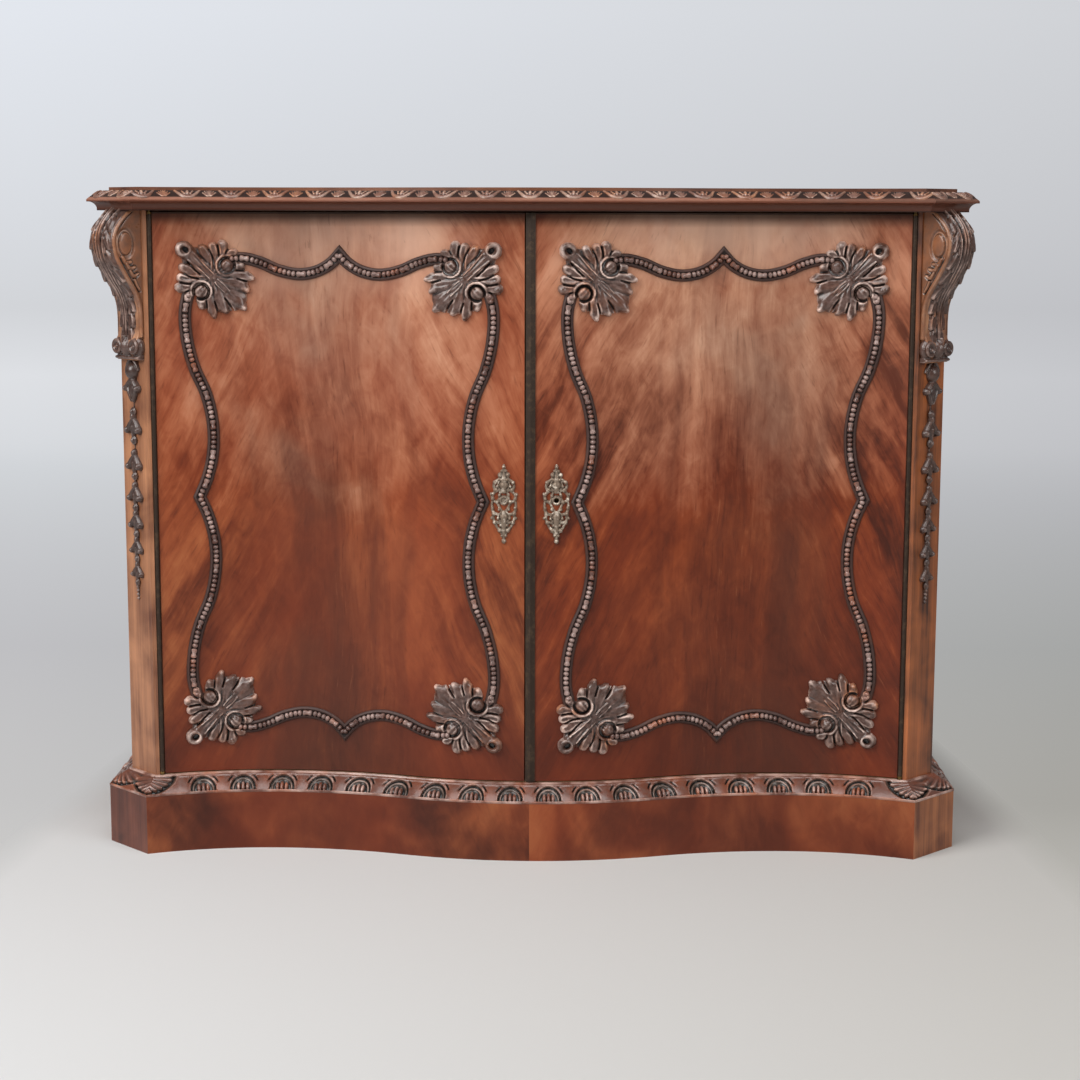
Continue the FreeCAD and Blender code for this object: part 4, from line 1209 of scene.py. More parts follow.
@dataclass
class DoorOrnament:
    """The cartouche on one door: four corner leaves and four cusped mouldings with beads and spindles."""

    side: Side
    station: float = 263.0
    level: float = 499.0
    leaf_place: Flat = (178.0, 307.0)
    moulding_half: float = 8.4
    bead_reach: float = 3.5
    bead_level: float = 4.6
    spindle_half: float = 6.6
    repeat: float = 42.0
    rail_path: tuple[Flat, ...] = ((152.0, 329.0), (133.0, 330.0), (112.0, 325.0), (84.0, 313.5), (56.0, 308.5),
                                   (28.0, 314.0), (9.0, 326.0), (0.0, 336.0))
    side_path: tuple[Flat, ...] = ((208.0, 283.0), (212.5, 262.0), (211.5, 222.0), (202.0, 180.0), (187.0, 143.0),
                                   (178.5, 98.0), (180.5, 55.0), (188.5, 24.0), (198.5, 0.0))

    def leaf(self, name: str) -> Thing:
        """Carve one corner leaf, its outer tip along X.

        Args:
            name: The object's name.

        Returns:
            The leaf, flat and in millimetres.
        """
        face = CarvedFace(name, (-68.0, -52.0), (64.0, 52.0), 0.85)
        webs = (([(-6, 0, 31), (-26, 0, 29), (-40, 0, 21)], 6.8),
                ([(-8, 12, 22), (-24, 20, 19), (-32, 26, 12)], 6.4),
                ([(-4, 0, 24), (14, 0, 23), (27, 0, 18), (38, 0, 12)], 5.6),
                ([(-2, 8, 22), (9, 22, 18), (13, 30, 12)], 5.6))
        lobes = (([(-14, 0, 18), (-34, 0, 16), (-49, 0, 11.5), (-58, 0, 7.0), (-64, 0, 3.6)], 7.4, 0.0, 0.8),
                 ([(-12, 8, 14), (-28, 14, 13), (-40, 18.5, 9.0), (-48.5, 20, 4.8)], 7.2, 0.0, 1.6),
                 ([(-10, 14, 12), (-24, 24, 12), (-34, 31, 8.6), (-41.5, 36.5, 4.2)], 7.0, 0.0, 1.6),
                 ([(-8, 20, 9), (-16, 32, 8.5), (-21, 38.5, 5.0)], 6.2, 0.0, 1.2),
                 ([(-6, 0, 13), (14, 0, 11.5), (32, 0, 10.0), (44, 0, 10.5)], 7.6, 0.0, 1.2),
                 ([(6, 6, 8), (18, 11, 8.0), (28, 16, 7.6), (33, 18, 6.4)], 8.0, 2.4, 1.8),
                 ([(2, 10, 8), (12, 19, 8.0), (20, 26.5, 7.6), (25, 30, 6.4)], 8.0, 2.4, 1.8),
                 ([(-1, 12, 8), (6, 26, 8.4), (12, 35, 8.2), (16.5, 40, 7.6)], 8.2, 2.4, 1.6),
                 ([(2, 31, 7), (3, 39, 7.0), (-1.0, 45, 5.0)], 7.0, 1.4, 1.4))
        grooves = ([(-36, 9.0, 1.3), (-45, 10.4, 1.7), (-55, 13.0, 1.6)],
                   [(-29, 22, 1.3), (-37, 26.5, 1.7), (-46, 32, 1.6)],
                   [(-20, 29, 1.3), (-27, 35, 1.6), (-33, 42, 1.5)], [(10, 9.0, 1.5), (20, 9.6, 1.8), (34, 9.0, 1.4)],
                   [(8, 15, 1.5), (17, 20.5, 1.8), (29, 25, 1.5)], [(5, 20, 1.5), (12, 29, 1.8), (21, 36, 1.5)],
                   [(4, 33, 1.2), (7, 38, 1.6), (7, 46, 1.5)])
        ribs = ([(-11, 3.0, 1.2), (-22, 3.6, 1.7), (-34, 3.0, 1.0)], [(-2, 4.4, 1.2), (18, 4.6, 1.5), (36, 6.4, 1.3)])
        curls = ((18.0, 41.5, 6.4, 6.0, 7.8), (34.0, 18.5, 5.4, 4.8, 6.8), (26.0, 30.5, 5.2, 4.8, 6.8),
                 (-43.0, 37.0, 3.4, 3.4, 5.4), (-50.0, 20.0, 3.6, 3.6, 5.8))
        eye = (-6.5, 25.0)
        for sign in (1, -1):
            for row, *form in webs + lobes:
                face.lobe(mirrored(row, sign), *form)
            for row in grooves:
                face.groove(mirrored(row, sign), 5.0)
            for row in ribs:
                face.lobe(mirrored(row, sign), 9.7)
            face.sink(eye[0], sign * eye[1], 12.8, 12.8, 0.6)
            face.boss(eye[0], sign * eye[1], 9.2, 9.2, 10.0, 0.6)
            face.ring(eye[0], sign * eye[1], 14.2, 2.8, 10.2, *sorted((-sign * 3.0, sign * 0.9)))
            for x, y, *form in curls:
                face.boss(x, sign * y, *form, 1.6)
        face.ring(49.0, 0.0, 7.2, 4.6, 9.8)
        face.sink(47.5, 1.0, 4.6, 3.6, 1.4)
        turn, reach = np.arctan2(np.abs(face.y), face.x + 2.0), np.hypot(face.x, face.y)
        tooling = np.sin(24.0 * turn + 0.1 * reach) + 0.7 * np.sin(11.0 * turn - 0.17 * reach + 1.0)
        face.height += 0.45 * tooling * (face.height > 3.0)
        return face.carve()

    def corners(self) -> list[Matrix]:
        """Where the leaves lie on the right door's drawing."""
        return [Matrix(((across * DIAGONAL, -across * DIAGONAL, 0, self.station + across * self.leaf_place[0]),
                        (up * DIAGONAL, up * DIAGONAL, 0, self.level + up * self.leaf_place[1]),
                        (0, 0, 1, 0), (0, 0, 0, 1))) for across in BOTH for up in BOTH]

    def quarters(self, path: Sequence[Flat]) -> list[tuple[int, int, np.ndarray]]:
        """The four copies of a quarter's path on the right door's drawing.

        Args:
            path: The path's knots to the right of and above the door's middle.

        Returns:
            For each quarter the signs of its X and Y, and its sampled line.
        """
        return [(across, up, flow([(self.station + across * x, self.level + up * z) for x, z in path]))
                for across in BOTH for up in BOTH]

    def bed(self, path: Sequence[Flat], mitre: Axis, name: str) -> Thing:
        """Run the moulding's section along the four copies of a path and mitre them where they meet.

        Args:
            path: The path of one quarter, which ends at the mitre.
            mitre: The axis across the mitre's plane.
            name: The object's name.

        Returns:
            The bed on which the beads lie, flat and in millimetres.
        """
        edge = ((0.0, -0.2), (0.0, 1.4), (0.8, 2.7), (2.0, 3.6), (3.0, 4.0), (3.8, 3.8), (4.6, 3.0))
        right = [(self.moulding_half - inset, rise) for inset, rise in edge]
        outline = [(-x, rise) for x, rise in right] + [(0.0, 2.6)] + right[::-1]
        beds = []
        for across, up, line in self.quarters(path):
            step = line[-1] - line[-2]
            past = line[-1] + step * 12.0 / step[2]
            run = sweep([np.vstack([line, past])[:, :2]], outline)
            cut(run, (self.station, self.level, 0.0), (-across, 0.0, 0.0) if mitre is Axis.X else (0.0, -up, 0.0))
            beds.append(run)
        return join(beds, name)

    def bead(self) -> Thing:
        """Turn one bead."""
        bpy.ops.mesh.primitive_uv_sphere_add(segments=10, ring_count=7, radius=self.bead_reach)
        ball = bpy.context.object
        ball.data.transform(Matrix.Diagonal((0.92, 1.1, 1.25, 1.0)))
        return ball

    def spindle(self) -> Thing:
        """Turn one spindle with a waist, its length along X."""
        bpy.ops.mesh.primitive_cylinder_add(vertices=10, radius=self.bead_reach, depth=2 * self.spindle_half)
        roll, half = bpy.context.object, self.spindle_half
        edit(roll, *(lambda level=level: bpy.ops.mesh.bisect(plane_co=(0, 0, level * half), plane_no=(0, 0, 1))
                     for level in (-0.8, -0.45, 0.0, 0.45, 0.8)))
        rows = points(roll)
        girth = np.interp(np.abs(rows[:, 2]) / half, (0, 0.45, 0.8, 1.0), (0.78, 1.08, 1.12, 0.66))
        rows[:, :2] *= girth[:, None]
        move_points(roll, rows)
        roll.data.transform(Matrix.Diagonal((1.0, 1.0, 1.25, 1.0)) @ Matrix.Rotation(math.pi / 2, 4, "Y"))
        return roll

    def row_of_beads(self, path: Sequence[Flat], name: str) -> Thing:
        """Lay spindles and fours of beads along the four copies of a path.

        Args:
            path: The path of one quarter.
            name: The object's name.

        Returns:
            The beads, flat and in millimetres.
        """
        beads, spindles = [], []
        for _, _, line in self.quarters(path):
            count = max(1, round(line[-1, 2] / self.repeat))
            for index in range(count):
                for offset, places in ((0.5, spindles), (0.23, beads), (0.08, beads), (0.92, beads), (0.77, beads)):
                    spot, angle = along(line, np.array([(index + offset) * line[-1, 2] / count]))
                    places.append(Matrix.Translation((*spot[0], self.bead_level)) @ Matrix.Rotation(angle[0], 4, "Z"))
        rows = []
        for model, places in ((self.bead(), beads), (self.spindle(), spindles)):
            rows.append(copies(model, places, name))
            bpy.data.objects.remove(model)
        return join(rows, name)

    def build(self, carved: Material, bed: Material, beads: Material) -> None:
        """Make the door's ornament.

        Args:
            carved: The leaves' finish.
            bed: The finish of the mouldings' beds.
            beads: The finish of the beads and spindles on them.
        """
        word, body = self.side.word, f"{self.side.word}_door"
        model = self.leaf("leaf")
        pieces = [(copies(model, self.corners(), f"{word}_leaf_carvings"), carved, None, f"{word}_door_leaves")]
        bpy.data.objects.remove(model)
        for part, path, mitre in (("rail", self.rail_path, Axis.X), ("side", self.side_path, Axis.Y)):
            node = f"{word}_door_{part}_mouldings"
            pieces.append((self.bed(path, mitre, f"{word}_{part}_moulding_beds"), bed, 40, node))
            pieces.append((self.row_of_beads(path, f"{word}_{part}_bead_rows"), beads, 40, node))
        for piece, material, sharp, node in pieces:
            settle(piece, PLAN.on_door(self.side))
            hand_over(piece, body, material, [node], sharp)


# ------------------------------------------------- carved runs round the edges


class Stretch(Enum):
    """A length of an edge moulding between its mitres."""

    FRONT = auto()
    CORNER = auto()
    FLANK = auto()


@dataclass
class EdgeRun:
    """A moulding's section that runs round the front, the canted corners and the sides.

    A drawing's X runs along the moulding from the front's middle or from a mitre, its Y up the slope of the
    section and its Z out of it, all in millimetres.
    """

    foot: Flat
    head: Flat
    swell: float

    @property
    def slope(self) -> float:
        """The length of the slope from foot to head."""
        return math.dist(self.foot, self.head)

    @property
    def lean(self) -> Flat:
        """How far the section runs in and up along one millimetre of its slope."""
        return (self.head[0] - self.foot[0]) / self.slope, (self.head[1] - self.foot[1]) / self.slope

    def lift(self, up: np.ndarray, out: np.ndarray) -> tuple[np.ndarray, np.ndarray]:
        """Turn places on the section into insets and heights in metres."""
        run_in, run_up = self.lean
        share = unit(up / self.slope)
        swollen = out + self.swell * 4 * share * (1 - share)
        return ((self.foot[0] + up * run_in - swollen * run_up) * MILLIMETRE,
                (self.foot[1] + up * run_up + swollen * run_in) * MILLIMETRE)

    def on_slope(self, inset: float, height: float) -> Flat:
        """Turn an inset and a height into a place along and out of the slope."""
        run_in, run_up = self.lean
        off_in, off_up = inset - self.foot[0], height - self.foot[1]
        return off_in * run_in + off_up * run_up, off_up * run_in - off_in * run_up

    def front_table(self) -> tuple[np.ndarray, np.ndarray]:
        """Distances along the front's face against stations, in millimetres."""
        x = np.linspace(0.0, 0.62, 1241)
        y, _, _ = PLAN.front(x, 0.0)
        return travelled(np.column_stack([x, y])) / MILLIMETRE, x / MILLIMETRE

    def distance(self, x: float) -> float:
        """The distance along the front's face from the middle to a station."""
        far, stations = self.front_table()
        return math.copysign(float(np.interp(abs(x), stations, far)), x)

    def mapping(self, stretch: Stretch, side: Side) -> Mapping:
        """Make the mapping that lays a drawing along one stretch.

        Args:
            stretch: Which stretch.
            side: On which side of the cabinet; the front has both.

        Returns:
            A mapping from places on the drawing to places on the cabinet.
        """
        (front_x, front_y), (side_x, side_y) = PLAN.front_corner(0.0), PLAN.side_corner(0.0)

        def lay(flat: np.ndarray) -> np.ndarray:
            """Lay the drawing along the stretch."""
            inset, height = self.lift(flat[:, 1], flat[:, 2])
            far = flat[:, 0] * MILLIMETRE
            if stretch is Stretch.FRONT:
                x = np.sign(far) * np.interp(np.abs(flat[:, 0]), *self.front_table()) * MILLIMETRE
                y, normal_x, normal_y = PLAN.front(x, 0.0)
                return np.column_stack([x - normal_x * inset, y - normal_y * inset, height])
            if stretch is Stretch.CORNER:
                return np.column_stack([side.value * (front_x + DIAGONAL * (far - inset)),
                                        front_y + DIAGONAL * (far + inset), height])
            return np.column_stack([side.value * (side_x - inset), side_y + far, height])

        return lay

    def mitre(self, thing: Thing, sign: int, at_front: bool, keep_front: bool) -> None:
        """Cut a piece at one of the mitres.

        Args:
            thing: The piece, already in place.
            sign: -1 for the left corner, 1 for the right one.
            at_front: Whether it is the mitre between the front and the canted corner.
            keep_front: Whether the part nearer the front's middle is kept.
        """
        corner = PLAN.front_corner if at_front else PLAN.side_corner
        (near_x, near_y), (far_x, far_y) = corner(-0.02), corner(0.03)
        across = Vector((-sign * (near_y - far_y), near_x - far_x, 0.0)).normalized()
        outward = across if across.x * sign > 0 else -across
        cut(thing, (sign * near_x, near_y, 0.0), outward if keep_front else -outward)

    def lay(self, thing: Thing, stretch: Stretch, side: Side = Side.RIGHT) -> Thing:
        """Lay a drawing along one stretch and cut it at the mitres there.

        Args:
            thing: The drawing.
            stretch: Which stretch.
            side: On which side of the cabinet; the front has both.

        Returns:
            The same object, in place.
        """
        settle(thing, self.mapping(stretch, side), 1.0)
        cuts = {Stretch.FRONT: ((-1, True, True), (1, True, True)),
                Stretch.CORNER: ((side.value, True, False), (side.value, False, True)),
                Stretch.FLANK: ((side.value, False, False),)}
        for sign, at_front, keep_front in cuts[stretch]:
            self.mitre(thing, sign, at_front, keep_front)
        return thing


@dataclass
class BaseCarving:
    """The eggs in arches with tongues between them that run round the top of the plinth."""

    pitch: float = 54.1
    count: int = 9
    side_count: int = 7
    grain: float = 0.95
    depth: float = 4.4
    arch: Flat = (17.6, 23.0)
    skin: Flat = (0.9, 31.6)
    run: EdgeRun = field(default_factory=lambda: EdgeRun((0.0, 84.5), (26.0, 103.5), 1.2))
    side_start: float = 52.0
    side_length: float = 366.0
    corner_length: float = 91.85
    spare: float = 30.0
    back: float = 0.230

    def egg_height(self, across: np.ndarray, up: np.ndarray) -> np.ndarray:
        """The cut skin near one egg, its arch and half a tongue on each side.

        Args:
            across: Places from the egg's middle.
            up: Places up the slope.

        Returns:
            The heights there, 0 on the plain skin.
        """
        off = np.hypot(across / self.arch[0], np.maximum(up - 4.5, 0) / self.arch[1])
        tongue = 0.9 * unit(1 - (np.abs(self.pitch / 2 - np.abs(across)) / 9.5) ** 2) - 0.5
        rim = unit((up - 26.5) / 1.2) * unit((31.5 - up) / 1.2)
        dents = unit(1 - ((off - 1.24) / 0.075) ** 2) * unit((up - 14.0) / 5.0) * unit((27.0 - up) / 2.0)
        outside = tongue - 2.6 * dents + rim * (0.9 - tongue * 0.4)
        band = -2.2 - self.depth * (1 - dome((off - 0.78) / 0.13))
        lobes = [np.hypot((across - middle) / reach, (up - 7.0) / tall) for middle, reach, tall in
                 ((0.0, 3.4, 9.6), (-6.0, 3.2, 7.6), (6.0, 3.2, 7.6))]
        egg = -self.depth + (self.depth + 2.2) * dome(np.min(lobes, axis=0))
        inside = np.maximum(np.where(off < 0.62, egg, band), -self.depth)
        return inside + unit((off - 0.95) / 0.06) * (outside - inside)

    def leaf_height(self, far: np.ndarray, up: np.ndarray, wide: float) -> np.ndarray:
        """The cut skin of the half leaf that turns a corner.

        Args:
            far: Distances from the mitre.
            up: Places up the slope.
            wide: How far the leaf reaches.

        Returns:
            The heights there.
        """
        turn, reach = np.arctan2(far + 5.0, 33.0 - up), np.hypot(far + 5.0, 33.0 - up)
        ridge = 0.5 + 0.5 * np.cos(2 * math.pi * (turn - 0.17) / 0.235)
        limit = 1 / np.hypot(np.sin(turn) / wide, np.cos(turn) / 31.5)
        share = unit(reach / limit)
        inside = unit((limit - 3.4 * (1 - ridge) ** 0.7 - reach) / 1.3)
        leaf = 0.6 - 2.6 * share ** 3 * (1 - ridge) ** 1.2 - 0.5 * (1 - ridge) + share ** 4 * ridge
        floor = 0.2 - (self.depth + 0.2) * unit(1 - np.maximum(reach - limit, 0) / 5.0)
        return floor + inside * (leaf - floor)

    def height(self, far: np.ndarray, up: np.ndarray, centres: Sequence[float],
               mitres: Sequence[float]) -> np.ndarray:
        """The cut skin along one length.

        Args:
            far: Places along it.
            up: Places up the slope.
            centres: Where its eggs stand, in order.
            mitres: Where it turns a corner.

        Returns:
            The heights there.
        """
        skin = np.zeros(len(far))
        if centres:
            last = len(centres) - 1
            phase = np.interp(far, centres, np.arange(len(centres)))
            phase = np.where(far < centres[0], (far - centres[0]) / self.pitch, phase)
            phase = np.where(far > centres[-1], last + (far - centres[-1]) / self.pitch, phase)
            across = (phase - np.clip(np.round(phase), 0, last)) * self.pitch
            skin = self.egg_height(np.clip(across, -self.pitch / 2, self.pitch / 2), up)
        for mitre in mitres:
            away = np.abs(far - mitre)
            leaf = self.leaf_height(away, up, 47.0 if centres else 64.0)
            skin = skin + unit((50.0 - away) / 4.0) * (leaf - skin)
        return unit(np.minimum(up - self.skin[0], self.skin[1] - up) / 0.9) * skin

    def length(self, start: float, stop: float, centres: Sequence[float], mitres: Sequence[float]) -> Thing:
        """Cut one length of the moulding.

        Args:
            start: Where it starts.
            stop: Where it ends.
            centres: Where its eggs stand.
            mitres: Where it turns a corner.

        Returns:
            The length, flat and in millimetres.
        """
        below = [self.run.on_slope(*spot) for spot in
                 ((30.0, 81.5), (0.0, 81.5), (-0.6, 82.2), (-0.6, 84.2), (0.2, 84.8))]
        above = [self.run.on_slope(*spot) for spot in ((26.2, 105.0), (30.0, 105.0))]
        outline = [*below, *((up, 0.0) for up in np.linspace(*self.skin, 34)), *above]
        stations = np.linspace(start, stop, int((stop - start) / self.grain))
        run = sweep([[(far, 0.0) for far in stations]], [(-up, out) for up, out in outline])
        rows = points(run)
        far, up, out = rows.T
        skin = (np.abs(out) < 0.001) & (up > self.skin[0] - 0.1) & (up < self.skin[1] + 0.1)
        out[skin] += self.height(far[skin], up[skin], centres, mitres)
        move_points(run, rows)
        store(run, Mark.SUNK, -out * skin - 0.6)
        return run

    def finish(self, parts: Sequence[Thing], word: str, material: Material) -> None:
        """Join, dress and report the lengths of one side or of the front."""
        piece = join(parts, f"base_carving_{word}")
        turn_outward(piece)
        hand_over(piece, "carcass", material, [f"base_moulding_{word}"], 45)

    def build(self, material: Material) -> None:
        """Make the carved moulding in its mitred lengths."""
        run, spare, corner_end = self.run, self.spare, self.corner_length
        centres = [run.distance((step + 0.5) * self.pitch) for step in range(-self.count, self.count)]
        eggs = [self.side_start + (step + 0.5) * self.pitch for step in range(self.side_count)]
        mitre = run.distance(PLAN.front_corner(0.0)[0] / MILLIMETRE)
        front = self.length(-mitre - spare, mitre + spare, centres, (-mitre, mitre))
        self.finish([run.lay(front, Stretch.FRONT)], "front", material)
        for side in Side:
            corner = run.lay(self.length(-spare, corner_end + spare, (), (0.0, corner_end)), Stretch.CORNER, side)
            flank = run.lay(self.length(-spare, self.side_length + 80, eggs, (0.0,)), Stretch.FLANK, side)
            cut(flank, (0.0, self.back, 0.0), (0.0, 1.0, 0.0))
            self.finish([corner, flank], side.word, material)


@dataclass
class TopCarving:
    """The bows and fans carved on the rounded edge of the top."""

    pitch: float = 58.0
    count: int = 8
    side_count: int = 6
    side_start: float = 20.0
    corner_places: Flat = (17.0, 75.0)
    sunk: float = 0.3
    run: EdgeRun = field(default_factory=lambda: EdgeRun((-5.4, 911.0), (13.0, 920.5), 1.3))

    def motif(self) -> Thing:
        """Carve one bow with its bud and one fan."""
        drawing, fan = Relief("bow"), self.pitch / 2
        drawing.strokes([[(-17, 14.0, 1.6), (-13.5, 8, 2.2), (-8, 1.8, 2.6), (0, 0.0, 2.8), (8, 1.8, 2.6),
                          (13.5, 8, 2.2), (17, 14.0, 1.6)]], 1.1)
        drawing.strokes([[(sign * 3.5, 5, 1.6), (sign * 7.5, 12.5, 1.3)] for sign in BOTH], 1.2)
        drawing.boss(0.0, 8.6, 2.8, 4.4, 2.8)
        for spread, reach in ((0.0, 13.8), (2.6, 13.6), (5.4, 11.6), (8.0, 8.4)):
            drawing.strokes([[(fan + sign * spread * 0.25, 1.2, 0.8), (fan + sign * spread * 0.8, reach * 0.6, 1.35),
                              (fan + sign * spread * 1.15, reach, 0.8)] for sign in (BOTH if spread else (1,))])
        whole = drawing.carve(0.6, -0.2)
        whole.data.transform(Matrix.Diagonal((1.0, 1.34, 1.0, 1.0)))
        apply_modifier(whole, "DECIMATE", ratio=0.45)
        return whole

    def build(self, material: Material) -> None:
        """Make the carving for the front, the canted corners and the sides."""
        bow = self.motif()
        front = [self.run.distance(step * self.pitch) for step in range(-self.count - 1, self.count + 2)]
        flank = [self.side_start + step * self.pitch for step in range(self.side_count)]
        rows = [(front, Stretch.FRONT, Side.RIGHT)]
        for side in Side:
            rows += [(self.corner_places, Stretch.CORNER, side), (flank, Stretch.FLANK, side)]
        parts = [self.run.lay(copies(bow, [Matrix.Translation((far, 0, -self.sunk)) for far in places], "edge_row"),
                              stretch, side) for places, stretch, side in rows]
        bpy.data.objects.remove(bow)
        whole = join(parts, "top_edge_carving")
        turn_outward(whole)
        hand_over(whole, "carcass", material, sharp=60)


# ---------------------------------------------------------- consoles and drops


@dataclass
class Console:
    """A carved bracket on a canted corner: a scrolled body with an acanthus leaf down its face."""

    side: Side
    half_width: float = 28.0
    cheek_depth: float = 3.6
    body_edge: float = 0.8
    face: tuple[Flat, ...] = ((20.0, 893.5), (31.0, 883.5), (42.0, 869.0), (46.5, 853.0), (45.5, 842.0),
                              (43.0, 831.0), (36.0, 818.0), (25.0, 800.0), (14.5, 784.0), (8.0, 767.0),
                              (6.0, 749.0), (6.0, 727.0))
    foot: tuple[Flat, ...] = ((9.0, 721.0), (13.0, 713.0), (13.0, 705.0), (9.0, 698.5), (6.5, 696.0), (9.0, 694.5),
                              (9.0, 690.0), (0.0, 690.0))

    def body(self) -> Thing:
        """Saw out the scrolled body; X is across the post, Y is up and Z is out of it."""
        outline = [*flow(self.face, 6)[:, :2], *self.foot, (0.0, self.face[0][1])]
        sawn = as_mesh(draw_lines([outline], closed=True), fill_mode="BOTH", bevel_depth=self.body_edge,
                       extrude=self.half_width - 3.2 - self.body_edge, bevel_resolution=2, offset=-self.body_edge)
        move_points(sawn, points(sawn)[:, ::-1])
        return sawn

    def leaf(self) -> Thing:
        """Carve the acanthus leaf flat, its stem at the top and Y down, and lay it along the body's face."""
        face = CarvedFace("console_leaf", (-30.0, -198.0), (30.0, 3.0), 0.95, -1.0)
        face.lobe([(0, 0, 27), (0, -60, 27), (0, -110, 25), (0, -150, 19), (0, -185, 11)], 2.6)
        for far in (168, 148, 126, 104, 80, 56, 32, 8):
            wide = float(np.interp(far, (8, 40, 90, 130, 168), (21.0, 23.0, 22.0, 18.0, 11.5)))
            for sign in BOTH:
                upper, lower, groove = ([(sign * x, -far - down, reach) for x, down, reach in row] for row in (
                    ((2, 0, 5.0), (wide * 0.42, 8, 7.0), (wide * 0.78, 18, 5.8), (wide, 28, 2.8)),
                    ((wide * 0.30, 12, 4.0), (wide * 0.52, 24, 4.0), (wide * 0.56, 33, 2.0)),
                    ((4.4, -1, 1.5), (wide * 0.5, 1, 1.6), (wide * 0.98, 10, 1.4))))
                face.lobe(upper, 4.6, 1.8, 1.4)
                face.lobe(lower, 4.4, 1.2, 2.2)
                face.groove(groove, 3.2)
                face.boss(sign * wide, -far - 28, 2.6, 3.2, 3.4, 1.2)
        for sign in BOTH:
            face.lobe([(sign * 2.2, 0, 2.2), (sign * 3.4, -90, 2.4), (sign * 1.6, -190, 1.4)], 7.6)
            face.lobe([(sign * 15, -2, 1.2), (sign * 11, -50, 1.8), (sign * 8, -110, 1.6), (sign * 4, -170, 1.0)],
                      6.6)
        leaf = face.carve(-0.4)
        move_points(leaf, self.wrap(points(leaf)))
        return leaf

    def wrap(self, flat: np.ndarray) -> np.ndarray:
        """Lay the flat leaf along the body's face.

        Args:
            flat: Places as across, down along the face, and rise, in millimetres.

        Returns:
            Places as across, height and distance out of the post.
        """
        line = flow(self.face, 10)
        across, down, rise = flat[:, 0], -flat[:, 1], flat[:, 2]
        spot, angle = along(line, np.clip(down, 0, line[-1, 2]))
        past = np.maximum(down - line[-1, 2], 0)
        return np.column_stack([across, spot[:, 1] + np.cos(angle) * rise - past, spot[:, 0] - np.sin(angle) * rise])

    def cheeks(self) -> Thing:
        """Carve a cheek with its border, ring and leaflets, X out of the post and Y up, and set it on both sides."""
        face, ground = CarvedFace("console_cheek", (0.0, 722.0), (50.0, 893.5), 0.8), 2.6
        line = flow(self.face, 6)[::-1]
        edge = np.interp(face.y, line[:, 1], line[:, 0])
        lean = np.interp(face.y, line[:, 1], np.hypot(1.0, np.gradient(line[:, 0], line[:, 1])))
        inward = (edge - face.x) / lean
        face.raise_to(np.full(len(face.x), ground), inward > 0)
        face.raise_to(ground + 2.2 * dome((inward - 2.9) / 2.9), (inward > 0) & (inward < 5.8))
        face.groove([(edge_x - 8.0, y, 1.5) for edge_x, y in line[::4, :2] if edge_x > 14], 1.5)
        off = face.oval(25.0, 849.0, 11.6, 17.5)
        face.height -= 2.25 * dome((off - 1.0) / 0.24)
        face.raise_to(ground + 1.4 * dome(off / 0.84), off < 0.84)
        for row in ([(30, 830, 2.4), (25, 823, 3.6), (18, 824, 2.6)],
                    [(25, 822, 2.4), (19, 815, 3.6), (12, 817, 2.4)],
                    [(19, 812, 2.2), (13, 805, 3.2), (7, 808, 2.0)],
                    [(12, 800, 2.0), (9, 792, 2.6), (5, 786, 1.8)]):
            face.lobe([(x, y, reach + 1.6) for x, y, reach in row], 2.65)
            face.groove([(x, y, reach + 1.8) for x, y, reach in row], 2.2)
            face.lobe(row, 5.2, 0.8, 1.0)
        cheek = face.carve(0.3)
        pair = copies(cheek, [Matrix(((0, 0, sign, sign * (self.half_width - self.cheek_depth)), (0, 1, 0, 0),
                                      (1, 0, 0, 0), (0, 0, 0, 1))) for sign in BOTH], "console_cheeks")
        bpy.data.objects.remove(cheek)
        return pair

    def scroll_foot(self) -> Thing:
        """Carve the three bosses that the body ends in; X is across and Y is up."""
        drawing = Relief("console_foot")
        drawing.boss(0.0, 708.0, 11.0, 14.0, 14.0, 5.0)
        for across, reach in ((0, 3.0), (5.2, 2.0), (-5.2, 2.0)):
            drawing.strokes([[(across, 724, reach * 0.8), (across * 1.1, 712, reach),
                              (across * 0.7, 697, reach * 0.7)]], 7.4)
        drawing.strokes([[(-27.0, 693.2, 3.4), (0.0, 693.2, 3.4), (27.0, 693.2, 3.4)]], 3.6)
        for sign in BOTH:
            drawing.boss(sign * 19.5, 708.0, 11.5, 14.5, 9.0, 5.0)
            drawing.ring(sign * 20.0, 708.5, 8.2, 2.8, 12.8)
            drawing.boss(sign * 20.0, 707.5, 3.6, 4.2, 17.4)
        return drawing.carve(0.95)

    def build(self, leaf_wood: Material, body_wood: Material) -> None:
        """Make the console.

        Args:
            leaf_wood: The finish of its leaf and foot.
            body_wood: The finish of its body and cheeks.
        """
        name = f"console_{self.side.word}"
        pale = join([self.body(), self.cheeks()], f"{name}_body")
        dark = join([self.leaf(), self.scroll_foot()], f"{name}_leaf")
        for piece, material in ((pale, body_wood), (dark, leaf_wood)):
            settle(piece, PLAN.on_cant(self.side))
            hand_over(piece, "carcass", material, [name], 50)


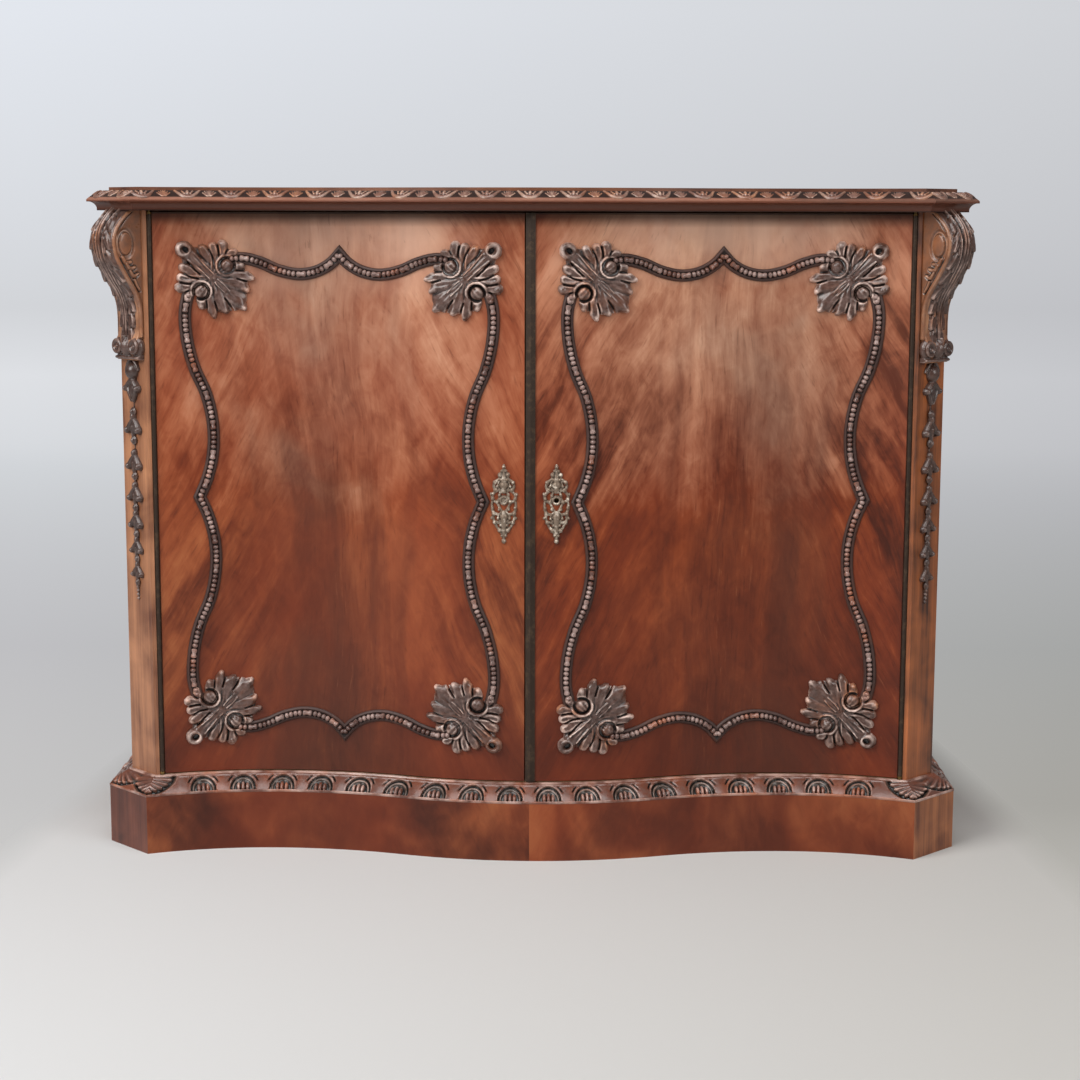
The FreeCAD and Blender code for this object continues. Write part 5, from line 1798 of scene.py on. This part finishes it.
@dataclass
class HuskDrop:
    """The bellflowers and beads that hang down a canted corner; each flower has a height and a size."""

    side: Side
    flowers: tuple[Flat, ...] = ((592.0, 1.0), (541.5, 0.98), (497.0, 0.94), (458.7, 0.88), (422.7, 0.82),
                                 (389.0, 0.76))

    def flower(self, drawing: Relief, middle: float, size: float) -> None:
        """Draw one bellflower: a bud, a cup between two knobs and a ringed seed below.

        Args:
            drawing: What it is drawn on.
            middle: The height of its knobs.
            size: Its size, 1 for the largest.
        """
        def petal(sign: int, *spots: Spot) -> list[Spot]:
            """A stroke of the flower at its size and height."""
            return [(sign * across * size, middle + up * size, reach * size) for across, up, reach in spots]

        def knob(x: float, up: float, across: float, along: float, rise: float, segments: int = 14) -> None:
            """Add a boss of the flower at its size and height."""
            drawing.boss(x * size, middle + up * size, across * size, along * size, rise * size, segments=segments)

        knob(0.0, 19, 5.2, 6.6, 7.8)
        knob(0.0, 5, 10.8, 10.6, 6.0, 20)
        for sign in BOTH:
            drawing.strokes([petal(sign, (0.0, 16.0, 3.2), (6.6, 10.0, 4.2), (12.0, 1.0, 4.4))], 1.7)
            knob(sign * 12.6, 0, 5.5, 5.9, 9.8)
        drawing.strokes([petal(1, (0, 6, 3.2), (0, -3, 3.2), (0, -10, 2.4))], 2.3)
        knob(0.0, -14, 5.0, 5.4, 7.8)
        drawing.ring(0.0, middle - 14 * size, 5.4 * size, 1.2, 2.4)

    def build(self, material: Material) -> None:
        """Make the drop: the large flower, the row of smaller ones, four last beads and the string."""
        drawing = Relief(f"husk_drop_{self.side.word}_carving")
        drawing.boss(0.0, 674.0, 12.0, 12.4, 11.8)
        for sign in BOTH:
            drawing.strokes([[(sign * 3, 690, 2.6), (sign * 11, 686, 2.8), (sign * 15.0, 675, 2.2)]], 1.9)
            drawing.strokes([[(0, 663, 3.6), (sign * 7.0, 658, 4.4), (sign * 13.0, 650, 4.0)],
                             [(sign * 9.0, 650, 3.4), (sign * 5.5, 641, 3.8), (sign * 1.5, 632, 2.6)]], 2.0)
            drawing.boss(sign * 13.6, 650.0, 5.0, 5.4, 9.8, segments=14)
        drawing.boss(0.0, 648.0, 8.0, 12.0, 6.4)
        drawing.boss(0.0, 618.0, 4.8, 5.2, 7.8, segments=14)
        drawing.ring(0.0, 618.0, 5.2, 1.2, 2.4)
        for middle, size in self.flowers:
            self.flower(drawing, middle, size)
        for step in range(4):
            reach = 2.9 - 0.2 * step
            drawing.boss(0.0, 372.0 - 5.6 * step, reach, reach, 4.8 - 0.4 * step, segments=12)
        drawing.strokes([[(0, 686, 1.0), (0, 560, 1.0), (0, 352, 0.9)]], 1.4)
        whole = settle(drawing.carve(0.85, -0.2), PLAN.on_cant(self.side))
        hand_over(whole, "carcass", material, [f"husk_drop_{self.side.word}"])


@dataclass
class Escutcheon:
    """A pierced plate of scrolls round a keyhole."""

    side: Side
    station: float = 36.0
    level: float = 496.0
    keyhole: float = 502.0
    keyhole_reach: float = 3.5
    knobs: tuple[Spot, ...] = (
        (0, 52, 2.6), (5.5, 41, 3.2), (12.5, 30.5, 3.0), (11.0, 20.0, 3.4), (15.5, 8.0, 2.8), (9.0, 3.5, 3.0),
        (14.0, -12.5, 3.2), (12.5, -24.5, 3.2), (5.6, -35.5, 3.4), (0, -50.5, 3.4), (15.5, -4.5, 2.4),
        (4.4, 34.5, 2.2), (8.6, 25.0, 2.3), (6.2, 13.0, 2.2), (6.4, -6.5, 2.3), (8.0, -19.0, 2.2), (4.2, -28.5, 2.3),
        (2.8, -43.0, 2.0), (17.4, 14.5, 2.1), (16.6, -18.5, 2.1), (3.0, 46.5, 1.9))
    scrolls: tuple[Stroke, ...] = (
        ((0, 56, 1.2), (0, 50, 2.2), (0, 40, 3.0), (0, 30, 5.0), (0, 16, 3.4)),
        ((0, -8, 3.6), (0, -18, 5.0), (0, -36, 3.6), (0, -54, 1.4)),
        ((2, 46, 1.6), (6, 41, 2.2), (5, 36, 2.0), (10, 33, 2.0), (13, 30, 2.4)),
        ((13, 30, 1.8), (15, 25, 1.8), (11, 20, 2.4), (5, 20, 2.0)),
        ((10, 20, 1.8), (15, 15, 2.0), (17, 9, 2.0), (14, 4, 1.8), (9, 4, 2.2)),
        ((8, 4, 2.0), (5.5, 10, 1.8), (5, 18, 1.6)),
        ((9, 3, 1.8), (6, -4, 1.8), (3, -9, 2.0)),
        ((16, 4, 1.6), (17, -4, 2.0), (14, -12, 2.2), (7, -14, 2.0), (2, -12, 1.8)),
        ((14, -12, 2.0), (15, -19, 1.8), (12, -25, 2.4), (5, -25, 2.0)),
        ((12, -25, 2.0), (10, -31, 1.8), (5.5, -35, 2.4), (1, -42, 1.8)))

    def build(self, material: Material) -> None:
        """Make the plate; only the right door has a keyhole."""
        word, x, level = self.side.word, self.station, self.level
        drawing = Relief(f"{word}_escutcheon_plate")
        for sign in BOTH:
            drawing.strokes([[(x + sign * across, level + up, reach) for across, up, reach in row]
                             for row in self.scrolls], 1.2)
            for across, up, reach in self.knobs:
                drawing.boss(x + sign * across, level + up, reach, reach * 1.1, 4.8, segments=14)
        for up, reach in ((27.0, 6.2), (-17.0, 5.8)):
            drawing.boss(x, level + up, reach, reach * 1.05, 5.8)
            drawing.ring(x, level + up, reach + 1.8, 1.0, 1.6)
        drawing.boss(x, self.keyhole, 6.6, 7.4, 2.6)
        drawing.ring(x, self.keyhole, 4.9, 1.0, 2.2)
        whole = drawing.carve(0.62, -0.1)
        if self.side is Side.RIGHT:
            bpy.ops.mesh.primitive_cylinder_add(vertices=28, radius=self.keyhole_reach, depth=30.0,
                                                location=(x, self.keyhole, 0.0))
            pin = bpy.context.object
            apply_modifier(whole, "BOOLEAN", operation="DIFFERENCE", object=pin, solver="EXACT")
            bpy.data.objects.remove(pin)
        apply_modifier(whole, "DECIMATE", ratio=0.6)
        settle(whole, PLAN.on_door(self.side))
        hand_over(whole, f"{word}_door", material, [f"{word}_escutcheon"])


# --------------------------------------------------------------------- stage


@dataclass(frozen=True)
class StudioPaper(Finish):
    """A pale paper backdrop: lit near the cabinet, and beyond it glowing for the camera in tones of painted light and
    shadow.
    """

    camera_y: float = -3.084
    half_view: float = 0.2534

    def draw(self, tree: Tree) -> None:
        """Draw the lit paper and the glowing one toned with painted light and shadow, and mix them by distance for
        the camera's rays alone.
        """
        x, y, z = tree.split(tree.place())
        across = (x / (y - self.camera_y)).spread(-self.half_view, self.half_view)
        path = (y + z * 1.1).spread(-1.0, 8.0)
        # The glow's tones are painted light and shadow: they change with depth as the lamps' light falls off, and the
        # right-hand row is darker where the cabinet's shadow falls.
        left = tree.ramp(path, toned((0.00, 0.12, 0.25, 0.60, 0.77, 0.83, 1.00), (215, 214, 210), (197, 196, 196),
                                     (191, 191, 194), (209, 212, 216), (222, 224, 228), (210, 212, 216),
                                     (227, 231, 238)))
        right = tree.ramp(path, toned((0.00, 0.12, 0.25, 0.50, 0.77, 0.83, 1.00), (206, 203, 196), (168, 166, 161),
                                      (166, 167, 166), (181, 182, 185), (198, 199, 203), (192, 193, 197),
                                      (208, 210, 214)))
        # The lit paper darkens a little to the right, a painted fall of light.
        near = tree.ramp(across, toned((0.0, 1.0), (214, 214, 214), (200, 198, 194)))
        shine = tree.add("BsdfPrincipled", {"Base Color": near, "Roughness": 0.7, "Specular IOR Level": 0.2})
        glow = tree.add("Emission", {"Color": tree.mix(across, left, right), "Strength": 1.0})
        camera_ray = tree.add("LightPath").outputs["Is Camera Ray"]
        # Beside the cabinet the glow, with its painted shade, stands in for the lit floor and its real cast shadow.
        far = (y + abs(x).spread(0.64, 0.77) * 1.2).spread(0.25, 0.9)
        mixed = tree.add("MixShader", {0: far * camera_ray, 1: shine.outputs[0], 2: glow.outputs[0]})
        tree.add("OutputMaterial", {"Surface": mixed.outputs[0]})


@dataclass
class Studio:
    """The pale floor and backdrop, the lamps and the camera."""

    camera_place: Spot = (0.06274, -3.08357, 0.88793)
    turn: float = math.radians(0.972)
    pitch: float = math.radians(8.6595)
    roll: float = math.radians(0.138)
    sensor: float = 36.0
    focal_share: float = 2130.73 / 1080.0
    floor_front: float = -6.0
    floor_back: float = 5.0
    half_width: float = 7.0
    wall_height: float = 4.5
    sweep: float = 1.1
    sweep_steps: int = 12

    def build_floor(self) -> None:
        """Make the floor and the wall behind it as one sheet that sweeps up."""
        bpy.ops.mesh.primitive_plane_add(size=1.0)
        sheet = bpy.context.object
        sheet.name = "studio_floor"
        edit(sheet, lambda: bpy.ops.transform.resize(
            value=(2 * self.half_width, self.floor_back - self.floor_front, 1.0)),
            lambda: bpy.ops.transform.translate(value=(0.0, (self.floor_back + self.floor_front) / 2, 0.0)))
        for part in (*sheet.data.polygons, *sheet.data.edges):
            part.select = False
        for vertex in sheet.data.vertices:
            vertex.select = vertex.co.y > self.floor_back - 0.01
        bpy.ops.object.mode_set(mode="EDIT")
        turns = [math.pi / 2 * step / self.sweep_steps for step in range(self.sweep_steps + 1)]
        moves = [(0.0, self.sweep * (math.sin(second) - math.sin(first)),
                  self.sweep * (math.cos(first) - math.cos(second))) for first, second in zip(turns, turns[1:])]
        for move in (*moves, (0.0, 0.0, self.wall_height)):
            bpy.ops.mesh.extrude_region_move(TRANSFORM_OT_translate={"value": move})
        bpy.ops.object.mode_set(mode="OBJECT")
        bpy.ops.object.shade_smooth()
        sheet.data.materials.append(StudioPaper("studio paper").build())

    def add_lamp(self, name: str, place: Spot, target: Spot, size: Flat, power: float, tint: Colour) -> None:
        """Hang one rectangular soft lamp.

        Args:
            name: The lamp's name.
            place: Where it hangs.
            target: The point that it faces.
            size: Its width and height.
            power: Its power in watts.
            tint: Its colour.
        """
        data = bpy.data.lights.new(name, "AREA")
        data.shape, data.size, data.size_y = "RECTANGLE", *size
        data.energy, data.color = power, tint
        lamp = bpy.data.objects.new(name, data)
        lamp.location = place
        lamp.rotation_euler = (Vector(target) - Vector(place)).to_track_quat("-Z", "Y").to_euler()
        bpy.context.scene.collection.objects.link(lamp)

    def add_camera(self) -> None:
        """Set up the camera as it was fitted to the photo."""
        data = bpy.data.cameras.new("portrait_camera")
        data.lens, data.sensor_width = self.sensor * self.focal_share, self.sensor
        camera = bpy.data.objects.new("portrait_camera", data)
        turned = (Matrix.Rotation(self.turn, 4, "Z") @ Matrix.Rotation(math.pi / 2 - self.pitch, 4, "X")
                  @ Matrix.Rotation(self.roll, 4, "Z"))
        camera.matrix_world = Matrix.Translation(self.camera_place) @ turned
        bpy.context.scene.collection.objects.link(camera)
        bpy.context.scene.camera = camera
        bpy.context.scene.view_settings.view_transform = "Standard"

    def build(self) -> None:
        """Put up the floor, the lamps, the surroundings and the camera."""
        self.build_floor()
        self.add_lamp("left_soft_box", (-2.4, -2.4, 2.5), (0.0, 0.0, 0.5), (2.2, 2.0), 96.0, (1.0, 0.99, 0.97))
        self.add_lamp("right_soft_box", (2.6, -2.2, 1.9), (0.0, 0.0, 0.4), (1.4, 1.6), 32.0, (1.0, 0.99, 0.97))
        self.add_lamp("overhead_box", (-0.2, -1.2, 3.0), (0.0, -0.2, 0.4), (2.4, 1.6), 46.0, (1.0, 1.0, 1.0))
        world = bpy.data.worlds.new("studio air")
        world.use_nodes = True
        background = world.node_tree.nodes["Background"]
        background.inputs["Color"].default_value = (0.80, 0.82, 0.86, 1.0)
        background.inputs["Strength"].default_value = 0.20
        bpy.context.scene.world = world
        self.add_camera()


# ------------------------------------------------------- the frame's own pieces


@dataclass
class FrameFinishes:
    """Dresses the frame's own pieces, those whose shape is right as it is."""

    door_spine: float = 0.263
    plinth_spine: float = 0.30

    def veneers(self) -> list[tuple[Finish, tuple[str, ...]]]:
        """The flame veneers of the doors and the plinth, and the pieces that each goes on."""
        # The doors' painted shadow lies just under the top's overhang.
        door = {"base_height": 0.11, "soot_height": 0.892}
        plinth = {"slant": 0.5, "plume_width": 0.16, "plume_strength": 0.25, "base_height": -0.06, "streak": 0.22,
                  "cloud": 1.7}
        return [
            # Each door has its own painted sheen height near its spine.
            (FlameVeneer("left door veneer", -self.door_spine, 3.1, plume_shift=0.042, top_height=0.88,
                         cloud_height=0.83, **door), ("left_door_veneer",)),
            (FlameVeneer("right door veneer", self.door_spine + 0.01, 8.6, plume_shift=-0.062, plume_strength=0.6,
                         deepness=0.05, top_height=0.86, cloud_height=0.85, tint=(0.94, 0.80, 0.68), **door),
             ("right_door_veneer",)),
            (FlameVeneer("left plinth veneer", -self.plinth_spine, 14.2, top_height=0.58, **plinth),
             ("plinth_front_left",)),
            (FlameVeneer("right plinth veneer", self.plinth_spine, 19.7, top_height=0.5, **plinth),
             ("plinth_front_right",)),
        ]

    def woods(self) -> list[tuple[Finish, tuple[str, ...]]]:
        """The plain woods and the pieces that each goes on."""
        mahogany = {"dark": paint(112, 66, 44), "light": paint(176, 118, 84)}
        pine = {"dark": paint(150, 112, 76), "light": paint(196, 160, 118), "gloss": 0.6, "coat": 0.0, "dust": 0.25}
        return [
            # The two posts are one mahogany painted twice: a lighter copy on the left as painted light and a darker
            # copy on the right as painted shade, as the key lamp falls from the left.
            (PlainWood("left post mahogany", paint(96, 50, 30), paint(204, 142, 102), seed=1.7),
             ("corner_post_left",)),
            (PlainWood("right post mahogany", paint(48, 20, 8), paint(196, 112, 60), seed=4.1),
             ("corner_post_right",)),
            (PlainWood("left plinth corner", paint(62, 26, 18), paint(136, 76, 56), seed=6.3, coat=0.1),
             ("plinth_corner_left",)),
            (PlainWood("right plinth corner", paint(92, 42, 20), paint(214, 136, 84), seed=8.9, coat=0.1),
             ("plinth_corner_right",)),
            (PlainWood("side mahogany", **mahogany, seed=5.3), ("side_panel_left", "side_panel_right")),
            (PlainWood("plinth side mahogany", **mahogany, along=Axis.Y, seed=9.1),
             ("plinth_side_left", "plinth_side_right")),
            (PlainWood("top mahogany", paint(86, 48, 34), paint(146, 92, 64), along=Axis.X, seed=12.4, gloss=0.34,
                       coat=0.4), ("top_board",)),
            (PlainWood("door backing", paint(120, 78, 54), paint(168, 118, 84), gloss=0.5, coat=0.0),
             ("left_door_core", "right_door_core")),
            (PlainWood("upright pine", **pine, seed=2.2), ("back_stiles", "back_panels")),
            (PlainWood("level pine", **pine, along=Axis.X, seed=6.8),
             ("plinth_back", "plinth_glue_blocks", "bottom_board", "carcass_top", "top_front_rail", "shelf",
              "back_rails")),
            (PlainWood("bearer pine", **pine, along=Axis.Y, seed=11.5), ("shelf_bearers",)),
            (TopEdgeWood("edge mahogany", Axis.X, 15.2), ("top_moulding_front",)),
            (TopEdgeWood("side edge mahogany", Axis.Y, 17.6), ("top_moulding_left", "top_moulding_right")),
        ]

    def metals(self) -> list[tuple[Finish, tuple[str, ...]]]:
        """The metals and the pieces that each goes on."""
        return [
            (OldMetal("dark bronze", paint(84, 66, 51), paint(58, 45, 36), 0.5, 0.42, 0.55),
             ("post_bead_left", "post_bead_right", "meeting_strip")),
            (OldMetal("fitting brass", paint(206, 176, 110), paint(120, 98, 62), 0.4, 0.34),
             ("left_door_hinge_plates", "right_door_hinge_plates", "carcass_hinge_plates", "bolt_cases",
              "strike_plate", "top_bolt", "bottom_bolt", "lock_case", "lock_bolt", "bolt_keepers")),
            (OldMetal("screw steel", paint(170, 168, 164), paint(96, 92, 88), 0.45, 0.36),
             ("left_door_screws", "right_door_screws", "carcass_hinge_screws")),
        ]

    def dress(self) -> None:
        """Put each finish on its pieces."""
        for finish, names in self.veneers() + self.woods() + self.metals():
            material = finish.build()
            for name in names:
                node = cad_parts[name]
                node.data.materials.clear()
                node.data.materials.append(material)
            log.info("finish %s on %d pieces", finish.name, len(names))


def carving_finishes() -> dict[str, Material]:
    """Make the finishes of the carved pieces.

    Returns:
        The materials by name.
    """
    # The hollow colours below are painted shade for the recesses, and the pale ridge colours are partly painted
    # highlights.
    finishes = (
        CarvedWood("carved mahogany", paint(76, 51, 42), paint(112, 88, 81), paint(112, 66, 44),
                   worn=paint(234, 206, 193), rubbed=paint(200, 136, 100), worn_share=0.88),
        CarvedWood("carved edges", paint(120, 82, 68), paint(108, 82, 74), paint(142, 88, 60),
                   worn=paint(222, 186, 162), rubbed=paint(222, 156, 108), worn_share=0.9),
        CarvedWood("carved base", paint(104, 58, 42), paint(100, 70, 60), paint(134, 72, 46), paint(14, 11, 9),
                   paint(214, 178, 164), paint(192, 122, 90), worn_share=0.7, bare_share=0.7),
        CarvedWood("moulding beds", paint(58, 36, 30), paint(66, 45, 40), paint(78, 44, 32), paint(34, 21, 17),
                   paint(74, 48, 41), paint(92, 54, 38), worn_share=0.4, coat=0.0, gloss=0.46),
        CarvedWood("beads", paint(82, 54, 46), paint(106, 80, 74), paint(104, 60, 44), paint(40, 26, 21),
                   paint(176, 150, 142), paint(170, 108, 82), worn_share=0.8),
        CarvedWood("husks", paint(64, 44, 38), paint(82, 64, 58), paint(86, 54, 39), worn=paint(190, 164, 154),
                   rubbed=paint(160, 112, 84), worn_share=0.8),
        CarvedWood("console leaves", paint(78, 53, 44), paint(98, 76, 69), paint(98, 60, 43),
                   worn=paint(188, 158, 146), rubbed=paint(168, 114, 82), worn_share=0.85),
        CarvedWood("console sides", paint(132, 84, 56), paint(112, 74, 54), paint(160, 102, 68), paint(20, 12, 9),
                   paint(190, 140, 108), paint(200, 142, 100), worn_share=0.7, bare_share=0.8),
        OldMetal("aged brass", paint(244, 230, 212), paint(134, 116, 100), 0.45, 0.42, 0.4, True),
    )
    return {finish.name: finish.build() for finish in finishes}


def main() -> None:
    """Build every piece in order."""
    logging.basicConfig(level=logging.INFO)
    bpy.ops.object.select_all(action="DESELECT")
    Shared.build()
    Studio().build()
    FrameFinishes().dress()
    wood = carving_finishes()
    BaseCarving().build(wood["carved base"])
    TopCarving().build(wood["carved edges"])
    for side in Side:
        DoorOrnament(side).build(wood["carved mahogany"], wood["moulding beds"], wood["beads"])
        Console(side).build(wood["console leaves"], wood["console sides"])
        HuskDrop(side).build(wood["husks"])
        Escutcheon(side).build(wood["aged brass"])


if __name__ == "__main__":
    main()
